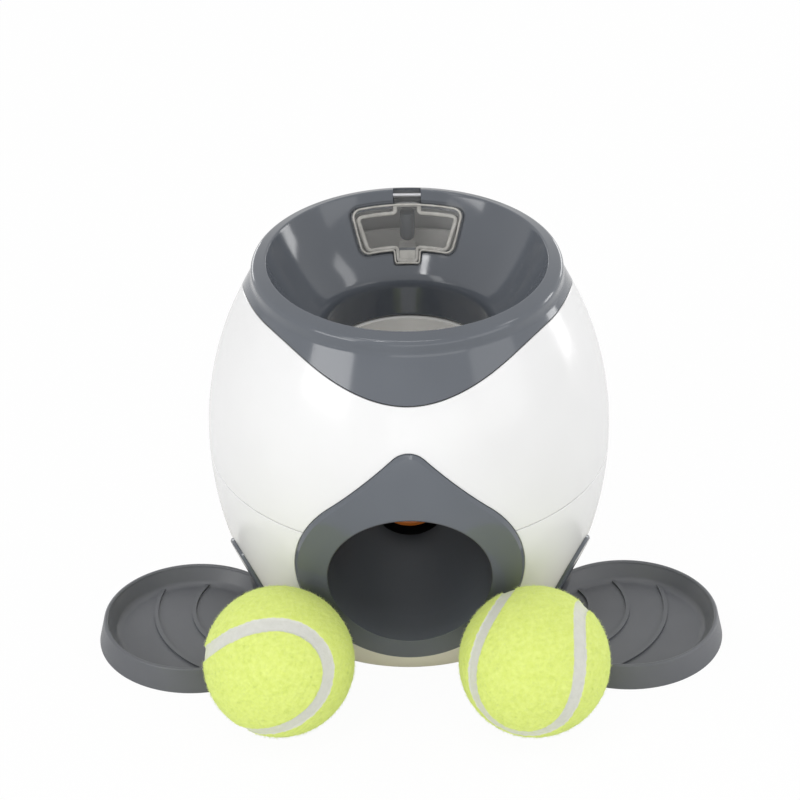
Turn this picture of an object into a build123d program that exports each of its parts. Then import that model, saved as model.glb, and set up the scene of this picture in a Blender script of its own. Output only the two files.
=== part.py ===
from build123d import *

import os
from math import asin, atan, atan2, cos, degrees, hypot, pi, radians, sin, sqrt, tan

os.makedirs("parts", exist_ok=True)

# A ball launcher for dogs that works by the ball's own weight.  A ball dropped in the
# funnel rolls down a quarter-turn chute and out of the front.  On its way it presses an
# orange trigger, which turns two pocketed drums under a treat hopper, and each drum tips
# its treats down a spout into a tray at the side.
#
# Millimetres.  +Z is up, the front faces -Y, and the origin is the middle of the
# underside, on the floor.  Azimuths are measured from the front, positive towards +X.

# ---- Driving dimensions -----------------------------------------------------------------
# Ball, and the two balls that stand in front of the body
ball_r = 32.5
ball_spots = {"left": (-56.3, -103.6), "right": (53.0, -105.3)}

# Body skin: a lower arc, an upper arc and a straight cone, all tangent
waist_r = 88.8
waist_z = 87.0
foot_in = 24.0
foot_r = waist_r - foot_in
neck_in = 14.5
neck_r = waist_r - neck_in
neck_z = 150.0
cone_top_z = 161.5
cone_spare = 8.0
wall = 2.5
seam_z = 80.0
seam_gap = 0.3
seam_lip = 4.0
lip_thick = 1.3

# Top collar: rim, bowl and throat
rim_in = 6.6
rim_r = neck_r - rim_in
rim_neck_radius = 10.0
rim_band = 0.4
rim_shoulder = 3.0
crest_in = 6.5
crest_r = rim_r - crest_in
crest_z = 171.5
throat_r = 36.6
bowl_end_out = 5.9
bowl_end_r = throat_r + bowl_end_out
bowl_drop = 27.0
bowl_end_z = crest_z - bowl_drop
bowl_sag = 1.4
throat_low_z = 121.5
throat_round = 9.0
collar_wall = 2.4
skirt_low_z = 140.0

# Three-lobed wave that parts the collar from the upper shell
wave_low_z = 144.0
wave_mid_z = 153.0
wave_high_z = 161.3
wave_mid_x = 37.5
wave_half_x = 61.0
wave_gap = 0.25

# Chute: quarter turn from the throat to the front
chute_r = 35.3
chute_wall = 2.0
bend_r = 60.0
exit_z = 60.0
chute_split = 36.0
chute_flange = 2.2
sleeve_wall = 1.8
sleeve_turn = 3.0
fit_gap = 0.3
fit_turn = 0.3

# Front frame: a teardrop that follows the skin and stands a little proud
frame_r = 49.5
frame_tip_r = 9.5
frame_top_z = 124.6
frame_proud = 1.8
frame_bevel = 1.2
frame_gap = 0.25

# Side outlets: a flat facet on the skin with an oval frame
side_azimuth = 67.7
facet_top_z = 46.0
facet_foot_inset = 0.6
facet_back = 2.5
facet_cut_depth = 20.0
side_frame_half_w = 16.0
side_frame_half_h = 24.0
side_frame_proud = 1.7
side_frame_low_z = 12.0
side_frame_bevel = 0.8
outlet_w = 21.0
outlet_h = 15.0
outlet_z = 23.0
outlet_corner = 5.0
outlet_depth = 15.0

# Trays
tray_reach = 39.2
tray_offset = foot_r + tray_reach
tray_rim_r = 40.8
tray_foot_r = 43.0
tray_height = 11.2
tray_rim_wall = 2.0
tray_skirt_wall = 1.6
tray_floor_r = 34.5
tray_floor_z = 3.6
tray_floor_wall = 1.6
tray_corner_r = 4.0
tray_rib_radii = (20.0, 37.0, 54.0)
tray_rib_centre = 65.6
tray_rib_w = 1.8
tray_rib_h = 1.0
tray_gap = 0.4
tongue_w = 20.0
tongue_h = 2.4
tongue_reach = 13.0
tongue_gap = 0.3

# Hopper lid on the rear of the bowl, and its hinge
lid_half_azimuth = 26.0
lid_low_z = 148.2
lid_high_z = 166.0
lid_corner = 4.0
lid_thick = 2.2
lid_proud = 0.5
lid_gap = 0.35
lid_tab_w = 12.4
lid_tab_low_z = 143.8
lid_ledge = 2.2
seat_rebate = 1.4
seat_rebate_depth = 1.0
lid_lip = 0.4
lid_rib_h = 1.6
lid_rib_w = 1.2
hinge_out = 0.2
hinge_y = crest_r + hinge_out
hinge_drop = 3.2
hinge_z = crest_z - hinge_drop
hinge_knuckle_r = 2.5
hinge_knuckle_w = 11.6
hinge_ear_w = 3.4
hinge_ear_wall = 0.8
hinge_block_front = 8.0
hinge_block_rear = 5.0
hinge_block_drop = 6.0
lid_pin_r = 1.0

# Treat hopper
bin_half_azimuth = 28.0
bin_inner_out = 0.5
bin_inner_r = bowl_end_r + bin_inner_out
bin_outer_in = 19.8
bin_outer_r = waist_r - bin_outer_in
bin_wall = 1.8
bin_rear_top_z = 147.5
bin_floor = 2.0
bin_port_r = 7.0
boss_r = 3.6
boss_out = 0.2
boss_y = hinge_y + boss_out
boss_low_z = 141.5
saddle_w = 12.0
saddle_slope = 45.0

# Trigger
trigger_half_w = 13.8
trigger_half_l = 15.8
trigger_round = 6.3
trigger_theta = 51.5
trigger_thick = 2.2
trigger_gap = 0.6
trigger_rear_gap = 2.4
trigger_rear_trim = 2.0
spoke_turn = 6.0
pin_spare = 1.0
trigger_travel = 14.0
window_reach = 15.0
pad_lead_turn = 10.0
pivot_theta = 40.0
pivot_radius = 101.5
pivot_hub_r = 3.6
pivot_pin_r = 1.5
hub_clearance = 0.8
pivot_lug_w = 2.5
pivot_lug_gap = 0.4

# Gear pair and treat drums
gear_module = 1.0
pinion_teeth = 11
gear_ratio = 8
gear_angle = 28.0
gear_w = 5.0
gear_backlash = 0.35
gear_pressure = 25.0
gear_addendum = 0.8
gear_depth = 1.85
flank_steps = 3
sector_side_gap = 0.5
sector_half_turn = 7.0
drum_r = 13.0
drum_w = 18.0
drum_gap = 0.5
drum_pocket_r = 7.5
drum_end_wall = 2.0
drum_inner_x = 6.5
shaft_r = 2.0
shaft_seat_r = 5.0
ear_w = 2.5
fit_clearance = 0.05

# Treat spouts
spout_w = 18.0
spout_h = 9.0
spout_wall = 1.5
spout_top = (15.5, 58.0, 52.0)
catch_low_z = 50.0
catch_high_z = 63.5
catch_front_y = 45.0
catch_rear_y = 76.0
leg_share = 0.3
spout_leg_w = 3.0
spout_leg_t = 12.0
spout_leg_turn = 30.0

# Base plate, its screws and pads
plate_thick = 3.0
plate_gap = 0.25
post_r = 4.5
post_in = 11.3
post_place_r = foot_r - post_in
post_azimuths = (33.0, 128.0, 232.0, 327.0)
post_top_z = 13.0
post_web = 2.0
screw_r = 1.6
screw_head_r = 3.2
screw_head_h = 1.8
screw_length = 10.0
pad_r = 6.0
pad_thick = 1.6
pad_in = 26.8
pad_place_r = foot_r - pad_in
cradle_w = 30.0
cradle_t = 3.0

# ---- Worked-out sizes -------------------------------------------------------------------
lower_arc_r = (waist_z**2 + (waist_r - foot_r) ** 2) / (2 * (waist_r - foot_r))
neck_rise = neck_z - waist_z
upper_arc_r = (neck_rise**2 + (waist_r - neck_r) ** 2) / (2 * (waist_r - neck_r))
foot_turn = -degrees(asin(waist_z / lower_arc_r))
neck_turn = degrees(asin(neck_rise / upper_arc_r))
bend_centre = (-bend_r, exit_z + bend_r)
chute_top_z = exit_z + bend_r
outer_bend_r = bend_r + chute_r
pivot = (
    bend_centre[0] + pivot_radius * cos(radians(pivot_theta)),
    bend_centre[1] - pivot_radius * sin(radians(pivot_theta)),
)
pinion_r = gear_module * pinion_teeth / 2
sector_r = pinion_r * gear_ratio
gear_distance = sector_r + pinion_r
rotor = (
    pivot[0] + gear_distance * cos(radians(gear_angle)),
    pivot[1] + gear_distance * sin(radians(gear_angle)),
)
drum_mid_x = drum_inner_x + drum_w / 2
ear_inner_x = drum_inner_x + drum_w + drum_gap
bin_floor_z = rotor[1] + drum_r + drum_gap
sides = {"left": -1, "right": 1}


def arc_point(centre_r, radius, turn, grow):
    """Point of a skin arc at an angle from the waist, grown outwards along its normal."""
    reach = radius + grow
    return (centre_r + reach * cos(radians(turn)), waist_z + reach * sin(radians(turn)))


def skin_points(grow):
    """Knots and arc middles of the skin profile, from below the foot to the cone's top."""
    low_c = waist_r - lower_arc_r
    high_c = waist_r - upper_arc_r
    under = foot_turn - 3
    low = [arc_point(low_c, lower_arc_r, turn, grow) for turn in (under, under / 2, 0)]
    high = [arc_point(high_c, upper_arc_r, turn, grow) for turn in (neck_turn / 2, neck_turn)]
    rise = cone_top_z + cone_spare - neck_z
    cone = (high[1][0] - rise * tan(radians(neck_turn)), high[1][1] + rise)
    return low + high + [cone]


def skin_solid(grow):
    """Everything inside the body skin, with the skin grown outwards by a distance."""
    under, low_mid, waist, high_mid, neck, cone = skin_points(grow)
    with BuildPart() as solid:
        with BuildSketch(Plane.XZ):
            with BuildLine():
                ThreePointArc(under, low_mid, waist)
                ThreePointArc(waist, high_mid, neck)
                Polyline(neck, cone, (0, cone[1]), (0, under[1]), under)
            make_face()
        revolve(axis=Axis.Z)
        split(bisect_by=Plane.XY, keep=Keep.TOP)
    return solid.part


def skin_radius(z):
    """Outer radius of the skin's lower arc at a height."""
    return waist_r - lower_arc_r + sqrt(lower_arc_r**2 - (waist_z - z) ** 2)


def above_wave(shift):
    """Space above the three-lobed parting wave, moved up by a distance."""
    reach = 1.2 * waist_r
    top = crest_z + 10
    with BuildPart() as lobe:
        with BuildSketch(Plane.XZ):
            with BuildLine():
                edge = [
                    (-wave_half_x, wave_high_z + shift),
                    (-wave_mid_x, wave_mid_z + shift),
                    (0, wave_low_z + shift),
                    (wave_mid_x, wave_mid_z + shift),
                    (wave_half_x, wave_high_z + shift),
                ]
                Spline(*edge, tangents=((1, 0), (1, 0)))
                Polyline(edge[-1], (reach, edge[-1][1]), (reach, top), (-reach, top),
                         (-reach, edge[0][1]), edge[0])
            make_face()
        extrude(amount=reach)
        with BuildSketch():
            Polygon((0, 0), (-reach * sin(pi / 3), -reach / 2), (0, -2 * reach),
                    (reach * sin(pi / 3), -reach / 2), align=None)
        extrude(amount=top, mode=Mode.INTERSECT)
    with BuildPart() as wave:
        with PolarLocations(0, 3):
            add(lobe.part)
    return wave.part


def teardrop(grow, depth):
    """Prism of the front frame's teardrop, from the middle of the body to the front."""
    with BuildPart() as prism:
        with BuildSketch(Plane.XZ):
            with Locations((0, exit_z)):
                Circle(frame_r + grow)
            with Locations((0, frame_top_z - frame_tip_r)):
                Circle(frame_tip_r + grow)
            make_hull()
        extrude(amount=depth)
    return prism.part


def tube_bend(radius, start, end):
    """Solid bend of the chute, between two turns measured from the throat."""
    with BuildPart() as bend:
        with BuildSketch(Plane.XY.offset(chute_top_z)):
            Circle(radius)
        hinge = Axis((0, *bend_centre), (-1, 0, 0))
        revolve(axis=hinge, revolution_arc=end - start)
    return bend.part.rotate(hinge, start)


def side_plane(side, out):
    """Plane of a side facet: local y runs up it and its normal points outwards."""
    lean = atan((skin_radius(facet_top_z) - foot_r + facet_foot_inset) / facet_top_z)
    away = Vector(side * sin(radians(side_azimuth)), -cos(radians(side_azimuth)), 0)
    normal = away * cos(lean) - Vector(0, 0, sin(lean))
    foot = away * (foot_r - facet_foot_inset) + normal * out
    return Plane(origin=foot, x_dir=Vector(0, 0, 1).cross(away), z_dir=normal)


facet_lean = atan((skin_radius(facet_top_z) - foot_r + facet_foot_inset) / facet_top_z)
facet_length = facet_top_z / cos(facet_lean)
outlet_up = outlet_z / cos(facet_lean)


# ---- Body shells ------------------------------------------------------------------------
def facet_cut(side):
    """Block outside a side facet."""
    with BuildPart() as block:
        with BuildSketch(side_plane(side, 0)):
            with Locations((0, facet_length / 2)):
                Rectangle(4 * side_frame_half_w, 4 * side_frame_half_h)
        extrude(amount=facet_cut_depth)
    return block.part


def outlet_cut(side, grow, out, depth):
    """Prism of a treat outlet, through the facet."""
    with BuildPart() as prism:
        with BuildSketch(side_plane(side, out)):
            with Locations((0, outlet_up)):
                RectangleRounded(outlet_w + 2 * grow, outlet_h + 2 * grow, outlet_corner)
        extrude(amount=-depth)
    return prism.part


def tongue_slot(side):
    """Slot in the foot that takes a tray's tongue."""
    with BuildPart() as slot:
        with BuildSketch(Plane.XY.offset(plate_thick)):
            with Locations((foot_r, 0)):
                Rectangle(4 * wall, tongue_w + 2 * tongue_gap)
        extrude(amount=tongue_h + 2 * tongue_gap)
    return slot.part.rotate(Axis.Z, side * side_azimuth - 90)


def facet_backing(side):
    """Thickening of the shell behind a side facet."""
    with BuildPart() as backing:
        with BuildSketch(side_plane(side, 0)):
            with Locations((0, facet_length / 2)):
                Ellipse(side_frame_half_w + facet_back, side_frame_half_h + facet_back)
        extrude(amount=-facet_back)
        add(skin_solid(-wall / 2), mode=Mode.INTERSECT)
        split(bisect_by=Plane.XY.offset(plate_thick + plate_gap), keep=Keep.TOP)
    return backing.part


def seam_lip_ring():
    """Tongue inside the lower shell's top edge that the upper shell slips over."""
    inner = skin_radius(seam_z) - wall
    fit_r = inner - seam_gap / 2
    with BuildPart() as ring:
        with BuildSketch(Plane.XZ):
            Polygon((fit_r - lip_thick, seam_z - seam_lip), (inner + lip_thick, seam_z - seam_lip),
                    (inner + lip_thick, seam_z - seam_gap), (fit_r, seam_z - seam_gap),
                    (fit_r, seam_z + seam_lip), (fit_r - lip_thick, seam_z + seam_lip),
                    align=None)
        revolve(axis=Axis.Z)
    return ring.part


def screw_posts():
    """Posts in the foot for the base screws, each on a web from the shell."""
    with BuildPart() as posts:
        for azimuth in post_azimuths:
            turned = Plane.XY.offset(plate_thick).rotated((0, 0, azimuth - 90))
            with BuildSketch(turned):
                with Locations((post_place_r, 0)):
                    Circle(post_r)
                with Locations(((post_place_r + foot_r) / 2 + post_r / 2, 0)):
                    Rectangle(foot_r - post_place_r + post_r, post_web)
            extrude(amount=post_top_z - plate_thick)
            with BuildSketch(turned):
                with Locations((post_place_r, 0)):
                    Circle(screw_r)
            extrude(amount=screw_length - plate_thick, mode=Mode.SUBTRACT)
        add(skin_solid(-wall / 2), mode=Mode.INTERSECT)
    return posts.part


with BuildPart() as lower_shell:
    add(skin_solid(0))
    add(skin_solid(-wall), mode=Mode.SUBTRACT)
    split(bisect_by=Plane.XY.offset(seam_z - seam_gap / 2), keep=Keep.BOTTOM)
    add(seam_lip_ring())
    for side in sides.values():
        add(facet_backing(side))
        add(facet_cut(side), mode=Mode.SUBTRACT)
        add(outlet_cut(side, 0, facet_back, outlet_depth), mode=Mode.SUBTRACT)
        add(tongue_slot(side), mode=Mode.SUBTRACT)
    add(teardrop(frame_gap, 2 * waist_r), mode=Mode.SUBTRACT)
    add(screw_posts())
lower_shell.part.label = "lower_shell"
export_step(lower_shell.part, "parts/lower_shell.step")

with BuildPart() as upper_shell:
    add(skin_solid(0))
    add(skin_solid(-wall), mode=Mode.SUBTRACT)
    split(bisect_by=Plane.XY.offset(seam_z + seam_gap / 2), keep=Keep.TOP)
    split(bisect_by=Plane.XY.offset(cone_top_z), keep=Keep.BOTTOM)
    add(above_wave(-wave_gap), mode=Mode.SUBTRACT)
    add(teardrop(frame_gap, 2 * waist_r), mode=Mode.SUBTRACT)
upper_shell.part.label = "upper_shell"
export_step(upper_shell.part, "parts/upper_shell.step")


# ---- Top collar: skirt, rim, bowl and throat in one moulding ------------------------------
bowl_chord = hypot(crest_r - bowl_end_r, crest_z - bowl_end_z)
bowl_radius = bowl_chord**2 / (8 * bowl_sag) + bowl_sag / 2
bowl_slope = atan2(crest_z - bowl_end_z, crest_r - bowl_end_r)
rim_slope = radians(neck_turn)
rim_flare_r = rim_r + rim_neck_radius * (1 - cos(rim_slope))
rim_low_z = (
    neck_z + (neck_r - rim_flare_r) / tan(rim_slope) + rim_neck_radius * sin(rim_slope)
)
rim_top_z = rim_low_z + rim_band + rim_shoulder
bowl_centre = (
    (crest_r + bowl_end_r) / 2 - (bowl_radius - bowl_sag) * sin(bowl_slope),
    (crest_z + bowl_end_z) / 2 + (bowl_radius - bowl_sag) * cos(bowl_slope),
)


def bowl_point(z, out):
    """Point of the bowl's arc at a height, moved out along the arc's normal."""
    turn = asin((z - bowl_centre[1]) / bowl_radius)
    reach = bowl_radius + out
    return (bowl_centre[0] + reach * cos(turn), bowl_centre[1] + reach * sin(turn))


def bowl_path(inset, start):
    """Bowl from a point of it, over the round shoulder, to the lower end of the throat."""
    end_turn = bowl_slope - 2 * atan(2 * bowl_sag / bowl_chord)
    start_turn = atan2(start[1] - bowl_centre[1], start[0] - bowl_centre[0])
    reach = bowl_radius + inset
    middle, end = [
        (bowl_centre[0] + reach * cos(turn), bowl_centre[1] + reach * sin(turn))
        for turn in ((start_turn + end_turn - pi / 2) / 2, end_turn - pi / 2)
    ]
    throat = throat_r + inset
    corner = (throat, end[1] - (end[0] - throat) * tan(end_turn))
    ThreePointArc(start, middle, end)
    FilletPolyline(end, corner, (throat, throat_low_z), radius=throat_round - inset)
    return throat, throat_low_z


def bowl_patch(out_near, out_far, low, high, half_azimuth):
    """Patch of the bowl's wall at the rear, between two offsets and two heights."""
    middle = (low + high) / 2
    with BuildPart() as patch:
        with BuildSketch(Plane.XZ):
            with BuildLine():
                near = [bowl_point(z, out_near) for z in (low, middle, high)]
                far = [bowl_point(z, out_far) for z in (low, middle, high)]
                ThreePointArc(*near)
                ThreePointArc(*far)
                Line(near[0], far[0])
                Line(near[2], far[2])
            make_face()
        revolve(axis=Axis.Z, revolution_arc=2 * half_azimuth)
    return patch.part.rotate(Axis.Z, 90 - half_azimuth)


def rounded_patch(out_near, out_far, grow, corner):
    """The lid's own patch of the bowl, grown at its edges, with rounded corners."""
    side_grow = degrees(grow / ((crest_r + bowl_end_r) / 2))
    with BuildPart() as patch:
        add(bowl_patch(out_near, out_far, lid_low_z - grow, lid_high_z + grow,
                       lid_half_azimuth + side_grow))
        fillet(patch.edges().filter_by(GeomType.LINE), corner)
    return patch.part


def collar_path(inset):
    """Outside of the collar from the skirt over the rim to the throat, moved into the wall."""
    start = degrees(asin((skirt_low_z - waist_z) / upper_arc_r))
    skirt = [
        arc_point(waist_r - upper_arc_r, upper_arc_r, turn, -inset)
        for turn in (start, (start + neck_turn) / 2, neck_turn)
    ]
    slope = radians(neck_turn)
    hollow = rim_neck_radius + inset
    flare = [
        (rim_r + rim_neck_radius - hollow * cos(turn), rim_low_z - hollow * sin(turn))
        for turn in (slope, slope / 2, 0)
    ]
    # Land from the shoulder to the crest, and where its offset meets the bowl's
    fall = atan2(crest_z - rim_top_z, rim_r - crest_r)
    corner = (rim_r - inset, rim_top_z - inset * (1 / cos(fall) - tan(fall)))
    run = (corner[0] - bowl_centre[0], corner[1] - bowl_centre[1])
    along = -run[0] * cos(fall) + run[1] * sin(fall)
    reach = bowl_radius + inset
    travel = -along - sqrt(along**2 - run[0] ** 2 - run[1] ** 2 + reach**2)
    crest = (corner[0] - travel * cos(fall), corner[1] + travel * sin(fall))
    ThreePointArc(*skirt)
    Line(skirt[2], flare[0])
    ThreePointArc(*flare)
    FilletPolyline(flare[2], corner, crest, radius=rim_shoulder - inset)
    return skirt[0], bowl_path(inset, crest)


def collar_filled():
    """Everything between the collar's skirt, rim, bowl and throat."""
    with BuildPart() as filled:
        with BuildSketch(Plane.XZ):
            with BuildLine():
                Line(*collar_path(0))
            make_face()
        revolve(axis=Axis.Z)
    return filled.part


def skirt_trim():
    """Space under the wave that the skirt leaves to the upper shell."""
    with BuildPart() as trim:
        with BuildSketch(Plane.XY.offset(skirt_low_z - 1)):
            Circle(1.2 * waist_r)
            Circle(crest_r + 1, mode=Mode.SUBTRACT)
        extrude(amount=cone_top_z - skirt_low_z + 1)
        add(above_wave(0), mode=Mode.SUBTRACT)
    return trim.part


def across_box(half_x, low_y, high_y, low_z, high_z):
    """Block that is centred on X, between two depths and two heights."""
    with BuildPart() as block:
        with BuildSketch(Plane.YZ):
            Polygon((low_y, low_z), (high_y, low_z), (high_y, high_z), (low_y, high_z),
                    align=None)
        extrude(amount=half_x, both=True)
    return block.part


def across_pin(radius, half_x, centre):
    """Cylinder along X around a point of the middle plane."""
    with BuildPart() as pin:
        with BuildSketch(Plane.YZ):
            with Locations(centre):
                Circle(radius)
        extrude(amount=half_x, both=True)
    return pin.part


hinge_at = (hinge_y, hinge_z)
knuckle_half = hinge_knuckle_w / 2
notch_half = knuckle_half + lid_gap
ear_half = notch_half + hinge_ear_w
lid_back = lid_thick - lid_proud
seat_depth = lid_back + lid_gap
ledge_depth = seat_depth + collar_wall - lid_lip
neck_seat = bowl_point(lid_high_z - 2, lid_back / 2)


def hinge_neck(grow, half_x):
    """Neck from the lid to its knuckle, or with a gap the notch that it lies in."""
    with BuildPart() as neck:
        with BuildSketch(Plane.YZ):
            with Locations(hinge_at):
                Circle(hinge_knuckle_r + grow)
            with Locations(neck_seat):
                Circle(lid_thick / 2 + grow)
            make_hull()
        extrude(amount=half_x, both=True)
    return neck.part



def collar_bosses():
    """Solid of the hinge ears and the screw post, inside the collar."""
    with BuildPart() as bosses:
        add(across_box(ear_half, hinge_y - hinge_block_front, hinge_y + hinge_block_rear,
                       hinge_z - hinge_block_drop, crest_z))
        with BuildSketch(Plane.XY.offset(boss_low_z)):
            with Locations((0, boss_y)):
                Circle(boss_r)
        extrude(amount=hinge_z - boss_low_z)
        add(collar_filled(), mode=Mode.INTERSECT)
    return bosses.part


def lid_tab(out_near, out_far, grow):
    """Finger tab below the lid, or with a gap the seat of it."""
    with BuildPart() as tab:
        add(bowl_patch(out_near, out_far, lid_tab_low_z - grow, lid_low_z + lid_ledge,
                       lid_half_azimuth))
        add(across_box(lid_tab_w / 2 + grow, 0, crest_r, lid_tab_low_z - 20, crest_z),
            mode=Mode.INTERSECT)
    return tab.part


def inner_patch(out_near, out_far, inset):
    """Patch of the bowl inside the lid's outline by an inset."""
    return bowl_patch(out_near, out_far, lid_low_z + inset, lid_high_z - inset,
                      lid_half_azimuth - degrees(inset / bowl_end_r))


def lid_rib():
    """Rib round the inside of the lid, which drops into the hopper's mouth."""
    inset = lid_ledge + lid_gap
    with BuildPart() as rib:
        add(inner_patch(lid_back / 2, lid_back + lid_rib_h, inset))
        add(inner_patch(0, lid_back + 2 * lid_rib_h, inset + lid_rib_w), mode=Mode.SUBTRACT)
    return rib.part


with BuildPart() as top_collar:
    with BuildSketch(Plane.XZ):
        with BuildLine():
            skirt_out, throat_in = collar_path(0)
            skirt_in, throat_out = collar_path(collar_wall)
            Line(skirt_out, skirt_in)
            Line(throat_in, throat_out)
        make_face()
    revolve(axis=Axis.Z)
    add(skirt_trim(), mode=Mode.SUBTRACT)
    # Ledge round the hopper's mouth, hinge ears and the post of the hopper's screw
    add(rounded_patch(collar_wall / 2, ledge_depth, lid_ledge, lid_corner))
    add(collar_bosses())
    # Seat and mouth of the lid, and the notch of its hinge and of its tab
    add(rounded_patch(-3 * lid_thick, seat_depth, lid_gap, lid_corner), mode=Mode.SUBTRACT)
    # Rebate round the seat, which the upper edge of the lid swings through
    add(rounded_patch(-3 * lid_thick, seat_rebate_depth, seat_rebate, lid_corner),
        mode=Mode.SUBTRACT)
    add(inner_patch(-3 * lid_thick, 1.2 * ledge_depth, lid_ledge), mode=Mode.SUBTRACT)
    add(lid_tab(-3 * lid_thick, lid_back + lid_gap / 2, lid_gap), mode=Mode.SUBTRACT)
    add(across_box(notch_half, hinge_y - 9, hinge_y + hinge_knuckle_r + lid_gap,
                   hinge_z, crest_z + 5), mode=Mode.SUBTRACT)
    add(hinge_neck(lid_gap, notch_half), mode=Mode.SUBTRACT)
    add(across_pin(lid_pin_r + fit_clearance, ear_half - hinge_ear_wall, hinge_at), mode=Mode.SUBTRACT)
top_collar.part.label = "top_collar"
export_step(top_collar.part, "parts/top_collar.step")

with BuildPart() as lid_hinge_pin:
    add(across_pin(lid_pin_r, ear_half - hinge_ear_wall - lid_gap / 2, hinge_at))
lid_hinge_pin.part.label = "lid_hinge_pin"
export_step(lid_hinge_pin.part, "parts/lid_hinge_pin.step")

# ---- Hopper lid: a clear patch of the bowl with a rib, a tab and a hinge knuckle -----------
with BuildPart() as hopper_lid:
    add(rounded_patch(-lid_proud, lid_back, 0, lid_corner))
    add(lid_tab(-lid_proud, lid_back, 0))
    add(lid_rib())
    add(hinge_neck(0, knuckle_half))
    add(across_pin(lid_pin_r + fit_clearance, ear_half, hinge_at), mode=Mode.SUBTRACT)
hopper_lid.part.label = "hopper_lid"
export_step(hopper_lid.part, "parts/hopper_lid.step")

# ---- Front frame with the lower scoop of the chute ------------------------------------------
tube_r = chute_r + chute_wall
sleeve_r = tube_r + fit_gap + sleeve_wall


def window_prism(grow, rear_trim):
    """Prism of the trigger's outline, through the outer wall of the bend."""
    turn = radians(trigger_theta)
    away = Vector(0, cos(turn), -sin(turn))
    base = Vector(0, *bend_centre) + away * (outer_bend_r - window_reach)
    half_w = trigger_half_w + grow
    rear = -trigger_half_l - grow + rear_trim
    front = trigger_half_l + grow
    with BuildPart() as prism:
        with BuildSketch(Plane(origin=base, x_dir=(1, 0, 0), z_dir=away)):
            with BuildLine():
                shoulder = front - trigger_round
                ThreePointArc((-half_w, shoulder), (0, front), (half_w, shoulder))
                Polyline((half_w, shoulder), (half_w, rear), (-half_w, rear),
                         (-half_w, shoulder))
            make_face()
        extrude(amount=2 * window_reach)
    return prism.part


def pivot_lug(side):
    """Lug beside the trigger's window that holds one end of its pin."""
    start = side * (trigger_half_w + pivot_lug_gap)
    root_turn = radians(pivot_theta)
    root = (
        bend_centre[0] + (outer_bend_r - 2) * cos(root_turn),
        bend_centre[1] - (outer_bend_r - 2) * sin(root_turn),
    )
    with BuildPart() as lug:
        with BuildSketch(Plane.YZ.offset(start)):
            with Locations(pivot):
                Circle(pivot_hub_r)
            with Locations(root):
                Circle(2 * pivot_hub_r)
            make_hull()
        extrude(amount=side * pivot_lug_w)
    return lug.part


def front_spigot():
    """Solid of the straight tube between the front panel and the bend."""
    with BuildPart() as spigot:
        with BuildSketch(Plane.XZ.offset(bend_r)):
            with Locations((0, exit_z)):
                Circle(tube_r)
        extrude(amount=waist_r)
        add(skin_solid(0), mode=Mode.INTERSECT)
    return spigot.part


with BuildPart() as front_frame:
    # Panel: the teardrop's share of a layer that lies on the skin
    add(teardrop(0, 2 * waist_r))
    add(skin_solid(frame_proud), mode=Mode.INTERSECT)
    chamfer(front_frame.edges().filter_by(GeomType.BSPLINE), frame_bevel)
    add(skin_solid(-wall), mode=Mode.SUBTRACT)
    # Straight tube from the panel to the bend
    add(front_spigot())
    add(tube_bend(tube_r, chute_split, 90))
    add(tube_bend(sleeve_r, chute_split - sleeve_turn, chute_split + sleeve_turn))
    for side in sides.values():
        add(pivot_lug(side))
    add(tube_bend(tube_r + fit_gap, chute_split - sleeve_turn, chute_split),
        mode=Mode.SUBTRACT)
    add(tube_bend(chute_r, chute_split - sleeve_turn, 90), mode=Mode.SUBTRACT)
    with BuildSketch(Plane.XZ.offset(bend_r)):
        with Locations((0, exit_z)):
            Circle(chute_r)
    extrude(amount=waist_r, mode=Mode.SUBTRACT)
    add(window_prism(trigger_gap, -trigger_rear_gap), mode=Mode.SUBTRACT)
    add(across_pin(pivot_hub_r + hub_clearance, trigger_half_w + pivot_lug_gap, pivot),
        mode=Mode.SUBTRACT)
    add(across_pin(pivot_pin_r + fit_clearance, 2 * trigger_half_w, pivot),
        mode=Mode.SUBTRACT)
front_frame.part.label = "front_frame"
export_step(front_frame.part, "parts/front_frame.step")

with BuildPart() as ball_chute:
    add(tube_bend(tube_r, 0, chute_split - fit_turn))
    add(tube_bend(chute_r, 0, chute_split), mode=Mode.SUBTRACT)
    with BuildSketch(Plane.XY.offset(chute_top_z)):
        Circle(tube_r + chute_flange)
        Circle(chute_r, mode=Mode.SUBTRACT)
    extrude(amount=-chute_flange)
    add(tube_bend(chute_r, 0, chute_split / 2), mode=Mode.SUBTRACT)
ball_chute.part.label = "ball_chute"
export_step(ball_chute.part, "parts/ball_chute.step")

# ---- Side frames round the treat outlets ---------------------------------------------------
for name, side in sides.items():
    facet = side_plane(side, 0)
    with BuildPart() as side_frame:
        with BuildSketch(facet):
            with Locations((0, facet_length / 2)):
                Ellipse(side_frame_half_w, side_frame_half_h)
        extrude(amount=side_frame_proud)
        outwards = Axis(facet.origin, facet.z_dir)
        chamfer(side_frame.faces().sort_by(outwards)[-1].edges(), side_frame_bevel)
        add(outlet_cut(side, 0, 2 * side_frame_proud, outlet_depth), mode=Mode.SUBTRACT)
        split(bisect_by=Plane.XY.offset(side_frame_low_z), keep=Keep.TOP)
    side_frame.part.label = f"side_frame_{name}"
    export_step(side_frame.part, f"parts/side_frame_{name}.step")


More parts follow.
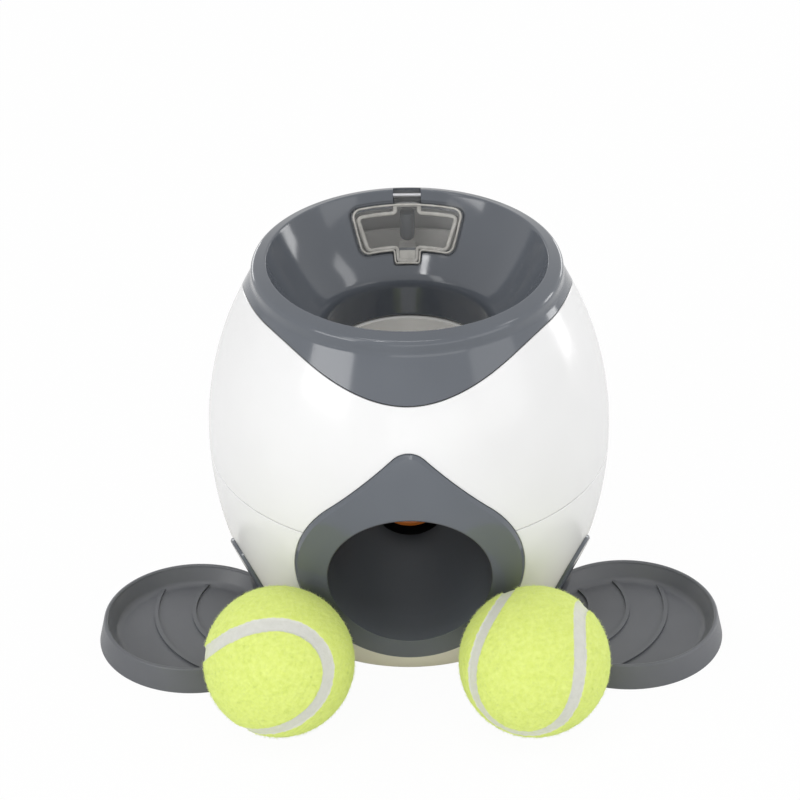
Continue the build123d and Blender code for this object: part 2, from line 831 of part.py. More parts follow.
# ---- Trays: thin-walled dishes whose back wall follows the foot ------------------------------
def tray_dish():
    """Dish with a flared skirt and curved floor ribs, round its own centre."""
    rim_in = tray_rim_r - tray_rim_wall
    rim_turn_z = tray_height - tray_rim_wall / 2
    under = tray_floor_z - tray_floor_wall
    with BuildPart() as dish:
        with BuildSketch(Plane.XZ):
            with BuildLine():
                Line((tray_foot_r, 0), (tray_rim_r, rim_turn_z))
                ThreePointArc((tray_rim_r, rim_turn_z),
                              (tray_rim_r - tray_rim_wall / 2, tray_height),
                              (rim_in, rim_turn_z))
                FilletPolyline((rim_in, rim_turn_z), (tray_floor_r, tray_floor_z),
                               (0, tray_floor_z), radius=tray_corner_r)
                Polyline((0, tray_floor_z), (0, under), (tray_floor_r, under),
                         (rim_in, tray_height - 2 * tray_rim_wall),
                         (tray_foot_r - tray_skirt_wall, 0), (tray_foot_r, 0))
            make_face()
        revolve(axis=Axis.Z)
        with BuildSketch(Plane.XY.offset(tray_floor_z - tray_floor_wall / 2)):
            for radius in sorted(tray_rib_radii, reverse=True):
                with Locations((0, tray_offset - tray_rib_centre)):
                    Circle(radius + tray_rib_w / 2)
                    Circle(radius - tray_rib_w / 2, mode=Mode.SUBTRACT)
            Circle(tray_floor_r - tray_corner_r / 4, mode=Mode.INTERSECT)
        extrude(amount=tray_rib_h + tray_floor_wall / 2)
    return dish.part


def tray_envelope():
    """Everything inside a tray's outer wall."""
    with BuildPart() as envelope:
        with BuildSketch():
            Circle(tray_foot_r)
        with BuildSketch(Plane.XY.offset(tray_height)):
            Circle(tray_rim_r - tray_rim_wall / 4)
        loft()
    return envelope.part


def tray_tongue():
    """Tongue that slides through the slot in the foot, in the dish's own frame."""
    near = tray_offset - foot_r - tray_gap - 2 * tray_rim_wall
    far = tray_offset - foot_r + tongue_reach
    with BuildPart() as tongue:
        with BuildSketch(Plane.XY.offset(plate_thick + tongue_gap)):
            with Locations((0, (near + far) / 2)):
                Rectangle(tongue_w, far - near)
        extrude(amount=tongue_h)
        fillet(tongue.edges().filter_by(Axis.Z).group_by(Axis.Y)[-1], tongue_h)
    return tongue.part


for name, side in sides.items():
    azimuth = radians(side_azimuth)
    place = Location(
        (side * tray_offset * sin(azimuth), -tray_offset * cos(azimuth), 0),
        (0, 0, side * side_azimuth),
    )
    with BuildPart() as tray:
        add(tray_envelope().moved(place))
        add(skin_solid(tray_gap + tray_rim_wall), mode=Mode.INTERSECT)
        add(tray_dish().moved(place))
        add(skin_solid(tray_gap), mode=Mode.SUBTRACT)
        add(tray_tongue().moved(place))
    tray.part.label = f"tray_{name}"
    export_step(tray.part, f"parts/tray_{name}.step")


# ---- Treat hopper under the lid ---------------------------------------------------------------
def bin_sector(low_r, high_r, half_azimuth, low_z, high_z):
    """Sector of a ring at the rear."""
    with BuildPart() as sector:
        with BuildSketch(Plane.XZ):
            Polygon((low_r, low_z), (high_r, low_z), (high_r, high_z), (low_r, high_z),
                    align=None)
        revolve(axis=Axis.Z, revolution_arc=2 * half_azimuth)
    return sector.part.rotate(Axis.Z, 90 - half_azimuth)


def under_bowl():
    """Space that the collar's throat, bowl and ledge take up, with a gap."""
    out = ledge_depth + fit_gap
    with BuildPart() as space:
        with BuildSketch(Plane.XZ):
            with BuildLine():
                start = bowl_point(lid_high_z, out)
                end = bowl_path(out, start)
                Polyline(end, (0, end[1]), (0, crest_z), (start[0], crest_z), start)
            make_face()
        revolve(axis=Axis.Z)
    return space.part


def shaft_ear(side):
    """Ear under the hopper with the bearing of the drum shaft."""
    with BuildPart() as ear:
        with BuildSketch(Plane.YZ.offset(side * ear_inner_x)):
            with Locations(rotor):
                Circle(shaft_seat_r)
            with Locations((rotor[0], bin_floor_z + bin_floor / 2)):
                Rectangle(drum_r, bin_floor)
            make_hull()
        extrude(amount=side * ear_w)
    return ear.part


with BuildPart() as hopper_bin:
    wall_turn = degrees(bin_wall / bin_outer_r)
    add(bin_sector(bin_inner_r - bin_wall, bin_outer_r, bin_half_azimuth, bin_floor_z,
                   bin_rear_top_z))
    add(bin_sector(bin_inner_r, bin_outer_r - bin_wall, bin_half_azimuth - wall_turn,
                   bin_floor_z + bin_floor, crest_z), mode=Mode.SUBTRACT)
    # Saddle between the two ports
    with BuildSketch(Plane.XZ.offset(-bin_inner_r)):
        with Locations((0, bin_floor_z + bin_floor)):
            Triangle(a=saddle_w, B=saddle_slope, C=saddle_slope,
                     align=(Align.CENTER, Align.MIN))
    extrude(amount=-(bin_outer_r - bin_inner_r - bin_wall / 2))
    # Seat of the collar's screw post on the rear wall
    with BuildSketch(Plane.XY.offset(boss_low_z - fit_gap)):
        with Locations((0, boss_y)):
            Circle(boss_r)
        with Locations((0, (boss_y + bin_outer_r - bin_wall / 2) / 2)):
            Rectangle(2 * boss_r, bin_outer_r - bin_wall / 2 - boss_y)
    extrude(amount=-3 * boss_r)
    for side in sides.values():
        add(shaft_ear(side))
    add(under_bowl(), mode=Mode.SUBTRACT)
    with BuildSketch(Plane.XY.offset(bin_floor_z)):
        with Locations((drum_mid_x, rotor[0]), (-drum_mid_x, rotor[0])):
            Circle(bin_port_r)
    extrude(amount=2 * bin_floor, mode=Mode.SUBTRACT)
    add(across_pin(shaft_r + fit_clearance, 2 * ear_inner_x, rotor), mode=Mode.SUBTRACT)
hopper_bin.part.label = "hopper_bin"
export_step(hopper_bin.part, "parts/hopper_bin.step")

# ---- Drums, their shaft and the pinion ---------------------------------------------------------
for name, side in sides.items():
    with BuildPart() as treat_drum:
        with BuildSketch(Plane.YZ.offset(side * drum_inner_x)):
            with Locations(rotor):
                Circle(drum_r)
        extrude(amount=side * drum_w)
        with BuildSketch(Plane.YZ.offset(side * (drum_inner_x + drum_end_wall))):
            with Locations((rotor[0], rotor[1] + drum_r)):
                Circle(drum_pocket_r)
        extrude(amount=side * (drum_w - 2 * drum_end_wall), mode=Mode.SUBTRACT)
        add(across_pin(shaft_r, 2 * ear_inner_x, rotor), mode=Mode.SUBTRACT)
    treat_drum.part.label = f"treat_drum_{name}"
    export_step(treat_drum.part, f"parts/treat_drum_{name}.step")

with BuildPart() as rotor_shaft:
    add(across_pin(shaft_r, ear_inner_x + ear_w + shaft_r, rotor))
rotor_shaft.part.label = "rotor_shaft"
export_step(rotor_shaft.part, "parts/rotor_shaft.step")


def involute_flank(pitch_r, turn_at_pitch, base_r, tip_r, hand):
    """Points of one tooth flank, from its base circle to its tip."""
    def roll(radius):
        pressure = sqrt(max(radius**2 / base_r**2 - 1, 0))
        return pressure - atan(pressure)
    start_r = max(base_r, tip_r - gear_depth)
    points = []
    for step in range(flank_steps + 1):
        radius = start_r + (tip_r - start_r) * step / flank_steps
        turn = hand * (turn_at_pitch - roll(radius) + roll(pitch_r))
        points.append((radius, turn))
    return points


def gear_tooth(centre, pitch_r, tooth_turn):
    """Sketch outline of one involute tooth, at an angle round the gear's centre."""
    base_r = pitch_r * cos(radians(gear_pressure))
    tip_r = pitch_r + gear_addendum
    half_turn = (pi * gear_module - gear_backlash) / (4 * pitch_r)
    left = involute_flank(pitch_r, half_turn, base_r, tip_r, 1)
    right = involute_flank(pitch_r, half_turn, base_r, tip_r, -1)

    def place(radius, turn):
        angle = radians(tooth_turn) + turn
        return (centre[0] + radius * cos(angle), centre[1] + radius * sin(angle))

    root_r = tip_r - gear_depth - gear_module / 2
    outline = [place(root_r, right[0][1])]
    outline += [place(*point) for point in right]
    outline += [place(*point) for point in reversed(left)]
    outline.append(place(root_r, left[0][1]))
    return Polygon(*outline, align=None)


with BuildPart() as rotor_pinion:
    with BuildSketch(Plane.YZ.offset(-gear_w / 2)):
        with Locations(rotor):
            Circle(pinion_r + gear_addendum - gear_depth)
        for tooth in range(pinion_teeth):
            gear_tooth(rotor, pinion_r, gear_angle + 180 + (tooth + 0.5) * 360 / pinion_teeth)
    extrude(amount=gear_w)
    add(across_pin(0.6 * pinion_r, drum_inner_x, rotor))
    add(across_pin(shaft_r, drum_inner_x, rotor), mode=Mode.SUBTRACT)
rotor_pinion.part.label = "rotor_pinion"
export_step(rotor_pinion.part, "parts/rotor_pinion.step")

# ---- Trigger: pad in the chute's wall, hub on its pin, and gear sector -----------------------------
sector_teeth = pinion_teeth * gear_ratio
tooth_pitch = 360 / sector_teeth
sector_low = gear_angle - trigger_travel - sector_half_turn
sector_high = gear_angle + sector_half_turn


def pad_spoke(middle_x, half_x, bow):
    """Spoke from the trigger's hub to the back of its pad."""
    turn = radians(pivot_theta + spoke_turn)
    seat_r = outer_bend_r + trigger_thick - bow
    seat = (bend_centre[0] + seat_r * cos(turn), bend_centre[1] - seat_r * sin(turn))
    with BuildPart() as spoke:
        with BuildSketch(Plane.YZ.offset(middle_x)):
            with Locations(pivot):
                Circle(pivot_hub_r)
            with Locations(seat):
                Circle(trigger_thick / 2)
            make_hull()
        extrude(amount=half_x, both=True)
    return spoke.part


def trigger_pad():
    """Pad and spokes as they lie when the ball has pressed them flush."""
    with BuildPart() as pad:
        add(tube_bend(chute_r + trigger_thick, pivot_theta - pad_lead_turn, 90))
        add(tube_bend(chute_r, pivot_theta - pad_lead_turn, 90), mode=Mode.SUBTRACT)
        add(window_prism(0, trigger_rear_trim), mode=Mode.INTERSECT)
        outer_x = trigger_half_w - pivot_lug_w
        bow = chute_r - sqrt(chute_r**2 - outer_x**2)
        add(pad_spoke(0, pivot_lug_w, 0))
        add(pad_spoke(outer_x, pivot_lug_w / 2, bow))
        add(pad_spoke(-outer_x, pivot_lug_w / 2, bow))
        add(across_pin(pivot_hub_r, trigger_half_w, pivot))
    return pad.part


def gear_sector():
    """Toothed sector on two spokes, in mesh with the pinion at rest."""
    rim_r = sector_r + gear_addendum - gear_depth
    low, high = radians(sector_low), radians(sector_high)
    middle = (low + high) / 2

    def at(radius, turn):
        return (pivot[0] + radius * cos(turn), pivot[1] + radius * sin(turn))

    with BuildPart() as sector:
        with BuildSketch(Plane.YZ.offset(-gear_w / 2 + sector_side_gap)):
            with BuildLine():
                ThreePointArc(at(rim_r, low), at(rim_r, middle), at(rim_r, high))
                Polyline(at(rim_r, high), pivot, at(rim_r, low))
            make_face()
            with BuildLine():
                inner = rim_r - 2 * pivot_hub_r
                trim = radians(sector_half_turn / 2)
                hub = 3 * pivot_hub_r
                ThreePointArc(at(inner, low + trim), at(inner, middle), at(inner, high - trim))
                Polyline(at(inner, high - trim), at(hub, high - trim), at(hub, low + trim),
                         at(inner, low + trim))
            make_face(mode=Mode.SUBTRACT)
            with Locations(pivot):
                Circle(pivot_hub_r)
            first = -int((gear_angle - sector_low) / tooth_pitch)
            last = int((sector_high - gear_angle) / tooth_pitch)
            for tooth in range(first, last + 1):
                gear_tooth(pivot, sector_r, gear_angle + tooth * tooth_pitch)
        extrude(amount=gear_w - 2 * sector_side_gap)
    return sector.part


with BuildPart() as trigger:
    add(trigger_pad().rotate(Axis((0, *pivot), (1, 0, 0)), -trigger_travel))
    add(gear_sector())
    add(across_pin(pivot_pin_r + fit_clearance, 2 * trigger_half_w, pivot),
        mode=Mode.SUBTRACT)
trigger.part.label = "trigger"
export_step(trigger.part, "parts/trigger.step")

with BuildPart() as trigger_pin:
    add(across_pin(pivot_pin_r, trigger_half_w + pivot_lug_gap + pivot_lug_w + pin_spare,
                   pivot))
trigger_pin.part.label = "trigger_pin"
export_step(trigger_pin.part, "parts/trigger_pin.step")


# ---- Treat spouts, each a sloping trough with a catch under its drum ---------------------------
def spout_plane(side, along):
    """Plane across a spout, at a share of its run."""
    top = Vector(side * spout_top[0], spout_top[1], spout_top[2])
    end = side_plane(side, -facet_back).from_local_coords(Vector(0, outlet_up - outlet_h / 2, 0))
    run = end - top
    level = Vector(0, 0, 1).cross(run)
    return Plane(origin=top + run * along, x_dir=level, z_dir=run), run.length


def trough(side, grow):
    """Solid of a spout's trough: its outside, or with no growth the space in it."""
    plane, length = spout_plane(side, 0)
    with BuildPart() as solid:
        with BuildSketch(plane):
            with Locations((0, spout_h / 2 - grow / 2)):
                Rectangle(spout_w + 2 * grow, spout_h + grow)
        extrude(amount=1.2 * length)
    return solid.part


def catch_block(side, grow, low_z):
    """Block of a spout's catch, or with no growth the space in it."""
    near = drum_inner_x - grow
    far = ear_inner_x + grow
    with BuildPart() as block:
        with BuildSketch(Plane.XY.offset(low_z)):
            Polygon((side * near, catch_front_y - grow), (side * far, catch_front_y - grow),
                    (side * far, catch_rear_y + grow), (side * near, catch_rear_y + grow),
                    align=None)
        extrude(amount=catch_high_z - low_z)
    return block.part


def behind_facet(side):
    """Half-space outside the shell's backing, where a spout must not reach."""
    with BuildPart() as block:
        with BuildSketch(side_plane(side, -facet_back - fit_gap)):
            Rectangle(2 * waist_r, 2 * waist_r)
        extrude(amount=waist_r)
    return block.part


for name, side in sides.items():
    with BuildPart() as treat_spout:
        add(trough(side, spout_wall))
        add(catch_block(side, spout_wall, catch_low_z - spout_wall))
        leg_plane, leg_length = spout_plane(side, leg_share)
        foot_spot = leg_plane.origin
        with BuildSketch(Plane.XY.offset(plate_thick)):
            with Locations((foot_spot.X, foot_spot.Y)):
                Rectangle(spout_leg_w, spout_leg_t, rotation=side * spout_leg_turn)
        extrude(amount=foot_spot.Z - plate_thick)
        add(trough(side, 0), mode=Mode.SUBTRACT)
        add(catch_block(side, 0, catch_low_z), mode=Mode.SUBTRACT)
        add(behind_facet(side), mode=Mode.SUBTRACT)
    treat_spout.part.label = f"treat_spout_{name}"
    export_step(treat_spout.part, f"parts/treat_spout_{name}.step")

# ---- Base plate, screws and pads ------------------------------------------------------------------
screw_spots = [
    (post_place_r * sin(radians(azimuth)), -post_place_r * cos(radians(azimuth)))
    for azimuth in post_azimuths
]
pad_spots = [(x * pad_place_r / post_place_r, y * pad_place_r / post_place_r)
             for x, y in screw_spots]

with BuildPart() as base_plate:
    add(skin_solid(-wall - plate_gap))
    split(bisect_by=Plane.XY.offset(plate_thick), keep=Keep.BOTTOM)
    # Cradle under the front scoop
    with BuildSketch(Plane.XZ.offset(bend_r - cradle_t)):
        with Locations((0, plate_thick)):
            Rectangle(cradle_w, exit_z - plate_thick, align=(Align.CENTER, Align.MIN))
    extrude(amount=cradle_t)
    with BuildSketch(Plane.XZ):
        with Locations((0, exit_z)):
            Circle(tube_r + fit_gap)
    extrude(amount=waist_r, mode=Mode.SUBTRACT)
    with BuildSketch():
        with Locations(*screw_spots):
            Circle(screw_r + fit_clearance)
    extrude(amount=plate_thick, mode=Mode.SUBTRACT)
    with BuildSketch():
        with Locations(*screw_spots):
            Circle(screw_head_r + fit_gap)
    extrude(amount=screw_head_h + fit_clearance, mode=Mode.SUBTRACT)
    with BuildSketch():
        with Locations(*pad_spots):
            Circle(pad_r + fit_clearance)
    extrude(amount=pad_thick, mode=Mode.SUBTRACT)
base_plate.part.label = "base_plate"
export_step(base_plate.part, "parts/base_plate.step")

with BuildPart() as base_screws:
    with BuildSketch(Plane.XY.offset(fit_clearance)):
        with Locations(*screw_spots):
            Circle(screw_head_r)
    extrude(amount=screw_head_h - fit_clearance)
    with BuildSketch(Plane.XY.offset(screw_head_h)):
        with Locations(*screw_spots):
            Circle(screw_r)
    extrude(amount=screw_length - screw_head_h)
base_screws.part.label = "base_screws"
export_step(base_screws.part, "parts/base_screws.step")

with BuildPart() as base_pads:
    with BuildSketch():
        with Locations(*pad_spots):
            Circle(pad_r)
    extrude(amount=pad_thick)
base_pads.part.label = "base_pads"
export_step(base_pads.part, "parts/base_pads.step")

# ---- Tennis balls ------------------------------------------------------------------------------------
for name, spot in ball_spots.items():
    with BuildPart() as tennis_ball:
        with Locations((*spot, ball_r)):
            Sphere(ball_r)
    tennis_ball.part.label = f"tennis_ball_{name}"
    export_step(tennis_ball.part, f"parts/tennis_ball_{name}.step")
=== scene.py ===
"""Looks of a dog's ball launcher: gloss white body, slate collar and front frame, satin trays,
a smoky clear hopper lid, and two felt balls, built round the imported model."""

import bmesh
import bpy
import numpy as np
from mathutils import Matrix, Quaternion, Vector


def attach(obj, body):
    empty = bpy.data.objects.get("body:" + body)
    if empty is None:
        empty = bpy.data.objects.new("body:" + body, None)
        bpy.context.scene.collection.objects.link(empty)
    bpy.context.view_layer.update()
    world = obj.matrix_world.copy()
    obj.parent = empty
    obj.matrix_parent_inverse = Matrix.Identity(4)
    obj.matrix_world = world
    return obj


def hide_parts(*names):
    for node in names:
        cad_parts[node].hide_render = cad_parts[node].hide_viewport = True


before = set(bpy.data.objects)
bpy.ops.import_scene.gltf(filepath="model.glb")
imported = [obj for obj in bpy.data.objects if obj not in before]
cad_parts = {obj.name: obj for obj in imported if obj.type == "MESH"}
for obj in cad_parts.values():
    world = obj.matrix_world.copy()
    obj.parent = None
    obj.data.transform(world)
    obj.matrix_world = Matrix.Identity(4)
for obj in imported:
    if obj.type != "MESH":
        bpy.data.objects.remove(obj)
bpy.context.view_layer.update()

# ---- Sizes in millimetres ----
# The same as in the part's source, apart from the flare's hollow and band, the wave and the
# screw post, which follow a later reading.
FOOT_R, WAIST_R, WAIST_Z = 64.8, 88.8, 87.0
NECK_R, NECK_Z = 74.3, 150.0
WALL, WALL_EDGE = 2.5, 0.45
SEAM_Z, SEAM_GAP = 80.0, 0.3
RIM_R, RIM_HOLLOW, RIM_BAND, RIM_SHOULDER = 67.7, 6.5, 1.16, 3.0
CREST_R, CREST_Z, CREST_ROUND = 61.2, 171.5, 0.7
BOWL_END_R, BOWL_END_Z, BOWL_SAG = 42.5, 144.5, 1.4
THROAT_R, THROAT_LOW, THROAT_ROUND = 36.6, 121.5, 9.0
FLARE_WALL, BOWL_WALL = 2.4, 3.4
THROAT_LIP = ((0.15, -0.35), (0.6, -0.5), (BOWL_WALL - 0.3, -0.5))
WAVE = ((-60.0, 159.6), (-37.5, 153.0), (0.0, 144.0), (37.5, 153.0), (60.0, 159.6))
REAR_DELAY = 1.6
WAVE_GAP = 0.25
TUBE_R, EXIT_Z = 35.3, 60.0
FRAME_R, TIP_R, TIP_Z, FRAME_GAP = 49.5, 9.5, 115.1, 0.25
SIDE_TURN, FACET_TOP, FACET_INSET, FACET_BLEND = 67.7, 46.0, 0.6, 0.22
OUTLET_W, OUTLET_H, OUTLET_Z, OUTLET_ROUND = 21.0, 15.0, 23.0, 5.0
SLOT_HALF_W, SLOT_LOW, SLOT_HIGH, SLOT_ROUND = 10.3, 3.0, 6.0, 0.4
LID_TURN, LID_LOW, LID_HIGH, LID_ROUND = 26.0, 148.2, 166.0, 4.0
LID_THICK, LID_PROUD, LID_GAP, LID_EDGE = 2.2, 0.5, 0.35, 0.5
LID_TAB_HALF, LID_TAB_LOW, LID_TAB_R = 6.2, 143.8, 44.5
LID_LEDGE, LID_RIB_H, LID_WALL_SEEN = 2.2, 1.6, 1.7
BEAD_INSET, BEAD_HALF, BEAD_PROUD, BEAD_DEEP = 0.75, 0.42, 0.35, 0.2
HINGE_Y, HINGE_Z, KNUCKLE_R, KNUCKLE_HALF = 61.4, 168.3, 2.5, 5.8
SEAT_REBATE, SEAT_REBATE_DEEP = 1.4, 1.0
POST_R, POST_Y, POST_LOW, POST_HIGH, POST_ROUND = 3.4, 61.6, 145.5, 160.0, 3.2
OUTLET_REACH, SLOT_REACH = 8.0, (55.0, 80.0)
SEAT_REACH, MOUTH_REACH = -9.0, (-12.0, 9.0)
BALL_R = 32.5
BALLS = {"left": (-56.3, -103.6), "right": (53.0, -105.3)}
SIDES = {"left": -1, "right": 1}

LOW_ARC = (WAIST_Z**2 + (WAIST_R - FOOT_R) ** 2) / (2 * (WAIST_R - FOOT_R))
HIGH_ARC = ((NECK_Z - WAIST_Z) ** 2 + (WAIST_R - NECK_R) ** 2) / (2 * (WAIST_R - NECK_R))
NECK_LEAN = np.arcsin((NECK_Z - WAIST_Z) / HIGH_ARC)


# ---- Meshes ----
MERGE = 2e-6  # points nearer than this many metres are one


def woven(name, loops, around=True, shut=False, capped=False):
    """One mesh of grids of rows by columns, one or many at once: around joins the sides of each,
    shut its last row to its first, and capped runs its first and last row in to their middles.
    Doubles are merged and faces turned outwards."""
    grids, quads, size = [loops], [], 0
    for loop in (loops[:1], loops[-1:]) if capped else ():
        middle = np.broadcast_to(loop.mean(axis=1, keepdims=True), loop.shape)
        grids.append(np.concatenate([loop, middle]))
    for grid in grids:
        index = size + np.arange(grid[..., 0].size).reshape(grid.shape[:-1])
        size += index.size
        if shut:
            index = np.concatenate([index, index[..., :1, :]], axis=-2)
        if around:
            index = np.concatenate([index, index[..., :1]], axis=-1)
        near, far = index[..., :-1, :], index[..., 1:, :]
        corners = (near[..., :-1], near[..., 1:], far[..., 1:], far[..., :-1])
        quads.append(np.stack(corners, axis=-1).reshape(-1, 4))
    points = np.concatenate([grid.reshape(-1, 3) for grid in grids]) * 0.001
    quads = np.concatenate(quads)
    mesh = bpy.data.meshes.new(name)
    mesh.vertices.add(len(points))
    mesh.vertices.foreach_set("co", points.astype(np.float32).ravel())
    mesh.loops.add(quads.size)
    mesh.loops.foreach_set("vertex_index", quads.astype(np.int32).ravel())
    mesh.polygons.add(len(quads))
    mesh.polygons.foreach_set("loop_start", np.arange(0, quads.size, 4, dtype=np.int32))
    mesh.update(calc_edges=True)
    solid = bmesh.new()
    solid.from_mesh(mesh)
    bmesh.ops.remove_doubles(solid, verts=solid.verts, dist=MERGE)
    bmesh.ops.recalc_face_normals(solid, faces=solid.faces)
    solid.to_mesh(mesh)
    solid.free()
    mesh.polygons.foreach_set("use_smooth", np.ones(len(mesh.polygons), bool))
    mesh.update()
    return mesh


def linked(name, data):
    """A new object of some data, at the origin and in the scene."""
    made = bpy.data.objects.new(name, data)
    bpy.context.scene.collection.objects.link(made)
    return made


def piece(name, mesh, body, material, stands_for=()):
    """An object that rides on a body, with its finish and the nodes it stands for."""
    made = linked(name, mesh)
    mesh.materials.clear()
    mesh.materials.append(material)
    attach(made, body)
    if stands_for:
        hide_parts(*stands_for)


def spaced(stops, steps):
    """Numbers from stop to stop, each stretch divided into its own count of equal steps."""
    parts = [
        np.linspace(low, high, count, endpoint=False)
        for low, high, count in zip(stops[:-1], stops[1:], steps)
    ]
    return np.concatenate(parts + [[stops[-1]]])


def unit(vectors):
    """Vectors divided by their lengths."""
    return vectors / np.maximum(np.linalg.norm(vectors, axis=-1, keepdims=True), 1e-9)


def compass(count):
    """Unit vectors in a plane, evenly all round."""
    turn = np.linspace(0, 2 * np.pi, count, endpoint=False)
    return np.stack([np.cos(turn), np.sin(turn)], axis=1)


def around(turn, radius, z):
    """Points about the body's axis: x = r sin(turn), y = -r cos(turn)."""
    turn, radius, z = np.broadcast_arrays(turn, radius, z)
    return np.stack([radius * np.sin(turn), -radius * np.cos(turn), z], axis=-1)


def walled(outer):
    """Rows of a shell's wall: the outer face, a quarter-round, the inner face a wall's depth along
    the normal (the cross product of centred differences), and the second edge's quarter-rounds.
    Its last row joins its first."""
    across = np.roll(outer, -1, 1) - np.roll(outer, 1, 1)
    normal = unit(np.cross(across, np.gradient(outer, axis=0)))
    turns = np.linspace(0, np.pi / 2, 5)[:, None, None]

    def rim(point, normal, out):
        near = point - WALL_EDGE * (out + normal)
        far = point - WALL_EDGE * out - (WALL - WALL_EDGE) * normal
        return np.concatenate([
            near + WALL_EDGE * (np.cos(turns) * normal + np.sin(turns) * out),
            far + WALL_EDGE * (np.cos(turns) * out - np.sin(turns) * normal),
        ])

    high = rim(outer[-1], normal[-1], unit(outer[-1] - outer[-2]))
    low = rim(outer[0], normal[0], unit(outer[0] - outer[1]))
    inner = outer[1:-1] - WALL * normal[1:-1]
    return np.concatenate([outer[1:-1], high, inner[::-1], low[::-1]])


def corner_arc(before, corner, after, radius, steps):
    """Arc tangent to both sides of a corner."""
    back, ahead = unit(before - corner), unit(after - corner)
    half = np.arccos(np.clip(back @ ahead, -1, 1)) / 2
    middle = corner + unit(back + ahead) * radius / np.sin(half)
    start = corner + back * radius / np.tan(half) - middle
    end = corner + ahead * radius / np.tan(half) - middle
    sweep = np.pi - 2 * half
    share = np.linspace(0, 1, steps + 1)[:, None]
    turned = np.sin((1 - share) * sweep) * start + np.sin(share * sweep) * end
    return middle + turned / np.sin(sweep)


def filled_in(path, step):
    """A path with points added along its runs, so that none is longer than a step."""
    lengths = np.linalg.norm(np.diff(path, axis=0), axis=1)
    counts = np.maximum(np.ceil(lengths / step).astype(int), 1)
    return np.concatenate([
        np.linspace(a, b, n, endpoint=False) for a, b, n in zip(path[:-1], path[1:], counts)
    ] + [path[-1:]])


def closed_outline(corners, rounds, grow=0.0):
    """A closed flat outline, counter-clockwise: its sides moved out by a distance, its corners
    rounded, outer ones by radius + grow and inner ones by radius - grow."""
    corners = np.asarray(corners, float)
    side = unit(np.roll(corners, -1, 0) - corners)
    normal = np.stack([side[:, 1], -side[:, 0]], axis=1)
    before = np.roll(normal, 1, 0)
    bisector = unit(before + normal)
    moved = corners + bisector * (grow / np.sum(bisector * normal, axis=1))[:, None]
    back = np.roll(side, 1, 0)
    outer = back[:, 0] * side[:, 1] - back[:, 1] * side[:, 0] > 0
    radii = np.maximum(np.asarray(rounds) + np.where(outer, grow, -grow), 0.15)
    parts = [
        corner_arc(moved[i - 1], moved[i], moved[(i + 1) % len(moved)], radii[i], 8)
        for i in range(len(moved))
    ]
    return np.concatenate(parts)


def ray_loop(outline, directions):
    """Points where rays from the origin leave a closed outline that is seen whole from there."""
    run = np.roll(outline, -1, 0) - outline
    across = directions[:, None, 0] * run[None, :, 1] - directions[:, None, 1] * run[None, :, 0]
    across = np.where(np.abs(across) < 1e-12, 1e-12, across)
    reach = (outline[:, 0] * run[:, 1] - outline[:, 1] * run[:, 0])[None] / across
    share = (outline[None, :, 0] * directions[:, None, 1]
             - outline[None, :, 1] * directions[:, None, 0]) / across
    good = (share >= -1e-9) & (share <= 1 + 1e-9) & (reach > 0)
    return directions * np.where(good, reach, 0).max(axis=1)[:, None]


# ---- The body's skin ----
def skin_radius(z, out=0.0):
    """Radius of the body at a height, grown by out: a lower arc, an upper arc and a straight
    cone, each moved along its own normal."""
    z = np.asarray(z, float)
    low, high = LOW_ARC + out, HIGH_ARC + out
    lower = WAIST_R - LOW_ARC + np.sqrt(low**2 - (z - WAIST_Z) ** 2)
    upper = WAIST_R - HIGH_ARC + np.sqrt(np.maximum(high**2 - (z - WAIST_Z) ** 2, 1.0))
    turn_z = WAIST_Z + high * np.sin(NECK_LEAN)
    turn_r = WAIST_R - HIGH_ARC + high * np.cos(NECK_LEAN)
    cone = turn_r - (z - turn_z) * np.tan(NECK_LEAN)
    return np.where(z < WAIST_Z, lower, np.where(z < turn_z, upper, cone))


FACET_LEAN = np.arctan((skin_radius(FACET_TOP) - FOOT_R + FACET_INSET) / FACET_TOP)


def body_radius(turn, z):
    """Skin radius with both side facets: the soft least of the skin and the facets' planes,
    where a plane has r cos(turn - side) = foot + z tan(lean), and
    soft least = -blend log(sum of exp(-radius / blend))."""
    level = 300  # keeps the exponentials in range
    radius = np.broadcast_to(skin_radius(z), np.broadcast(turn, z).shape)
    soft = np.exp(-radius / FACET_BLEND + level)
    for side in SIDES.values():
        away = np.cos(turn - side * np.radians(SIDE_TURN))
        plane = (FOOT_R - FACET_INSET + z * np.tan(FACET_LEAN)) / np.maximum(away, 0.2)
        soft = soft + np.exp(-plane / FACET_BLEND + level)
    return -FACET_BLEND * (np.log(soft) - level)


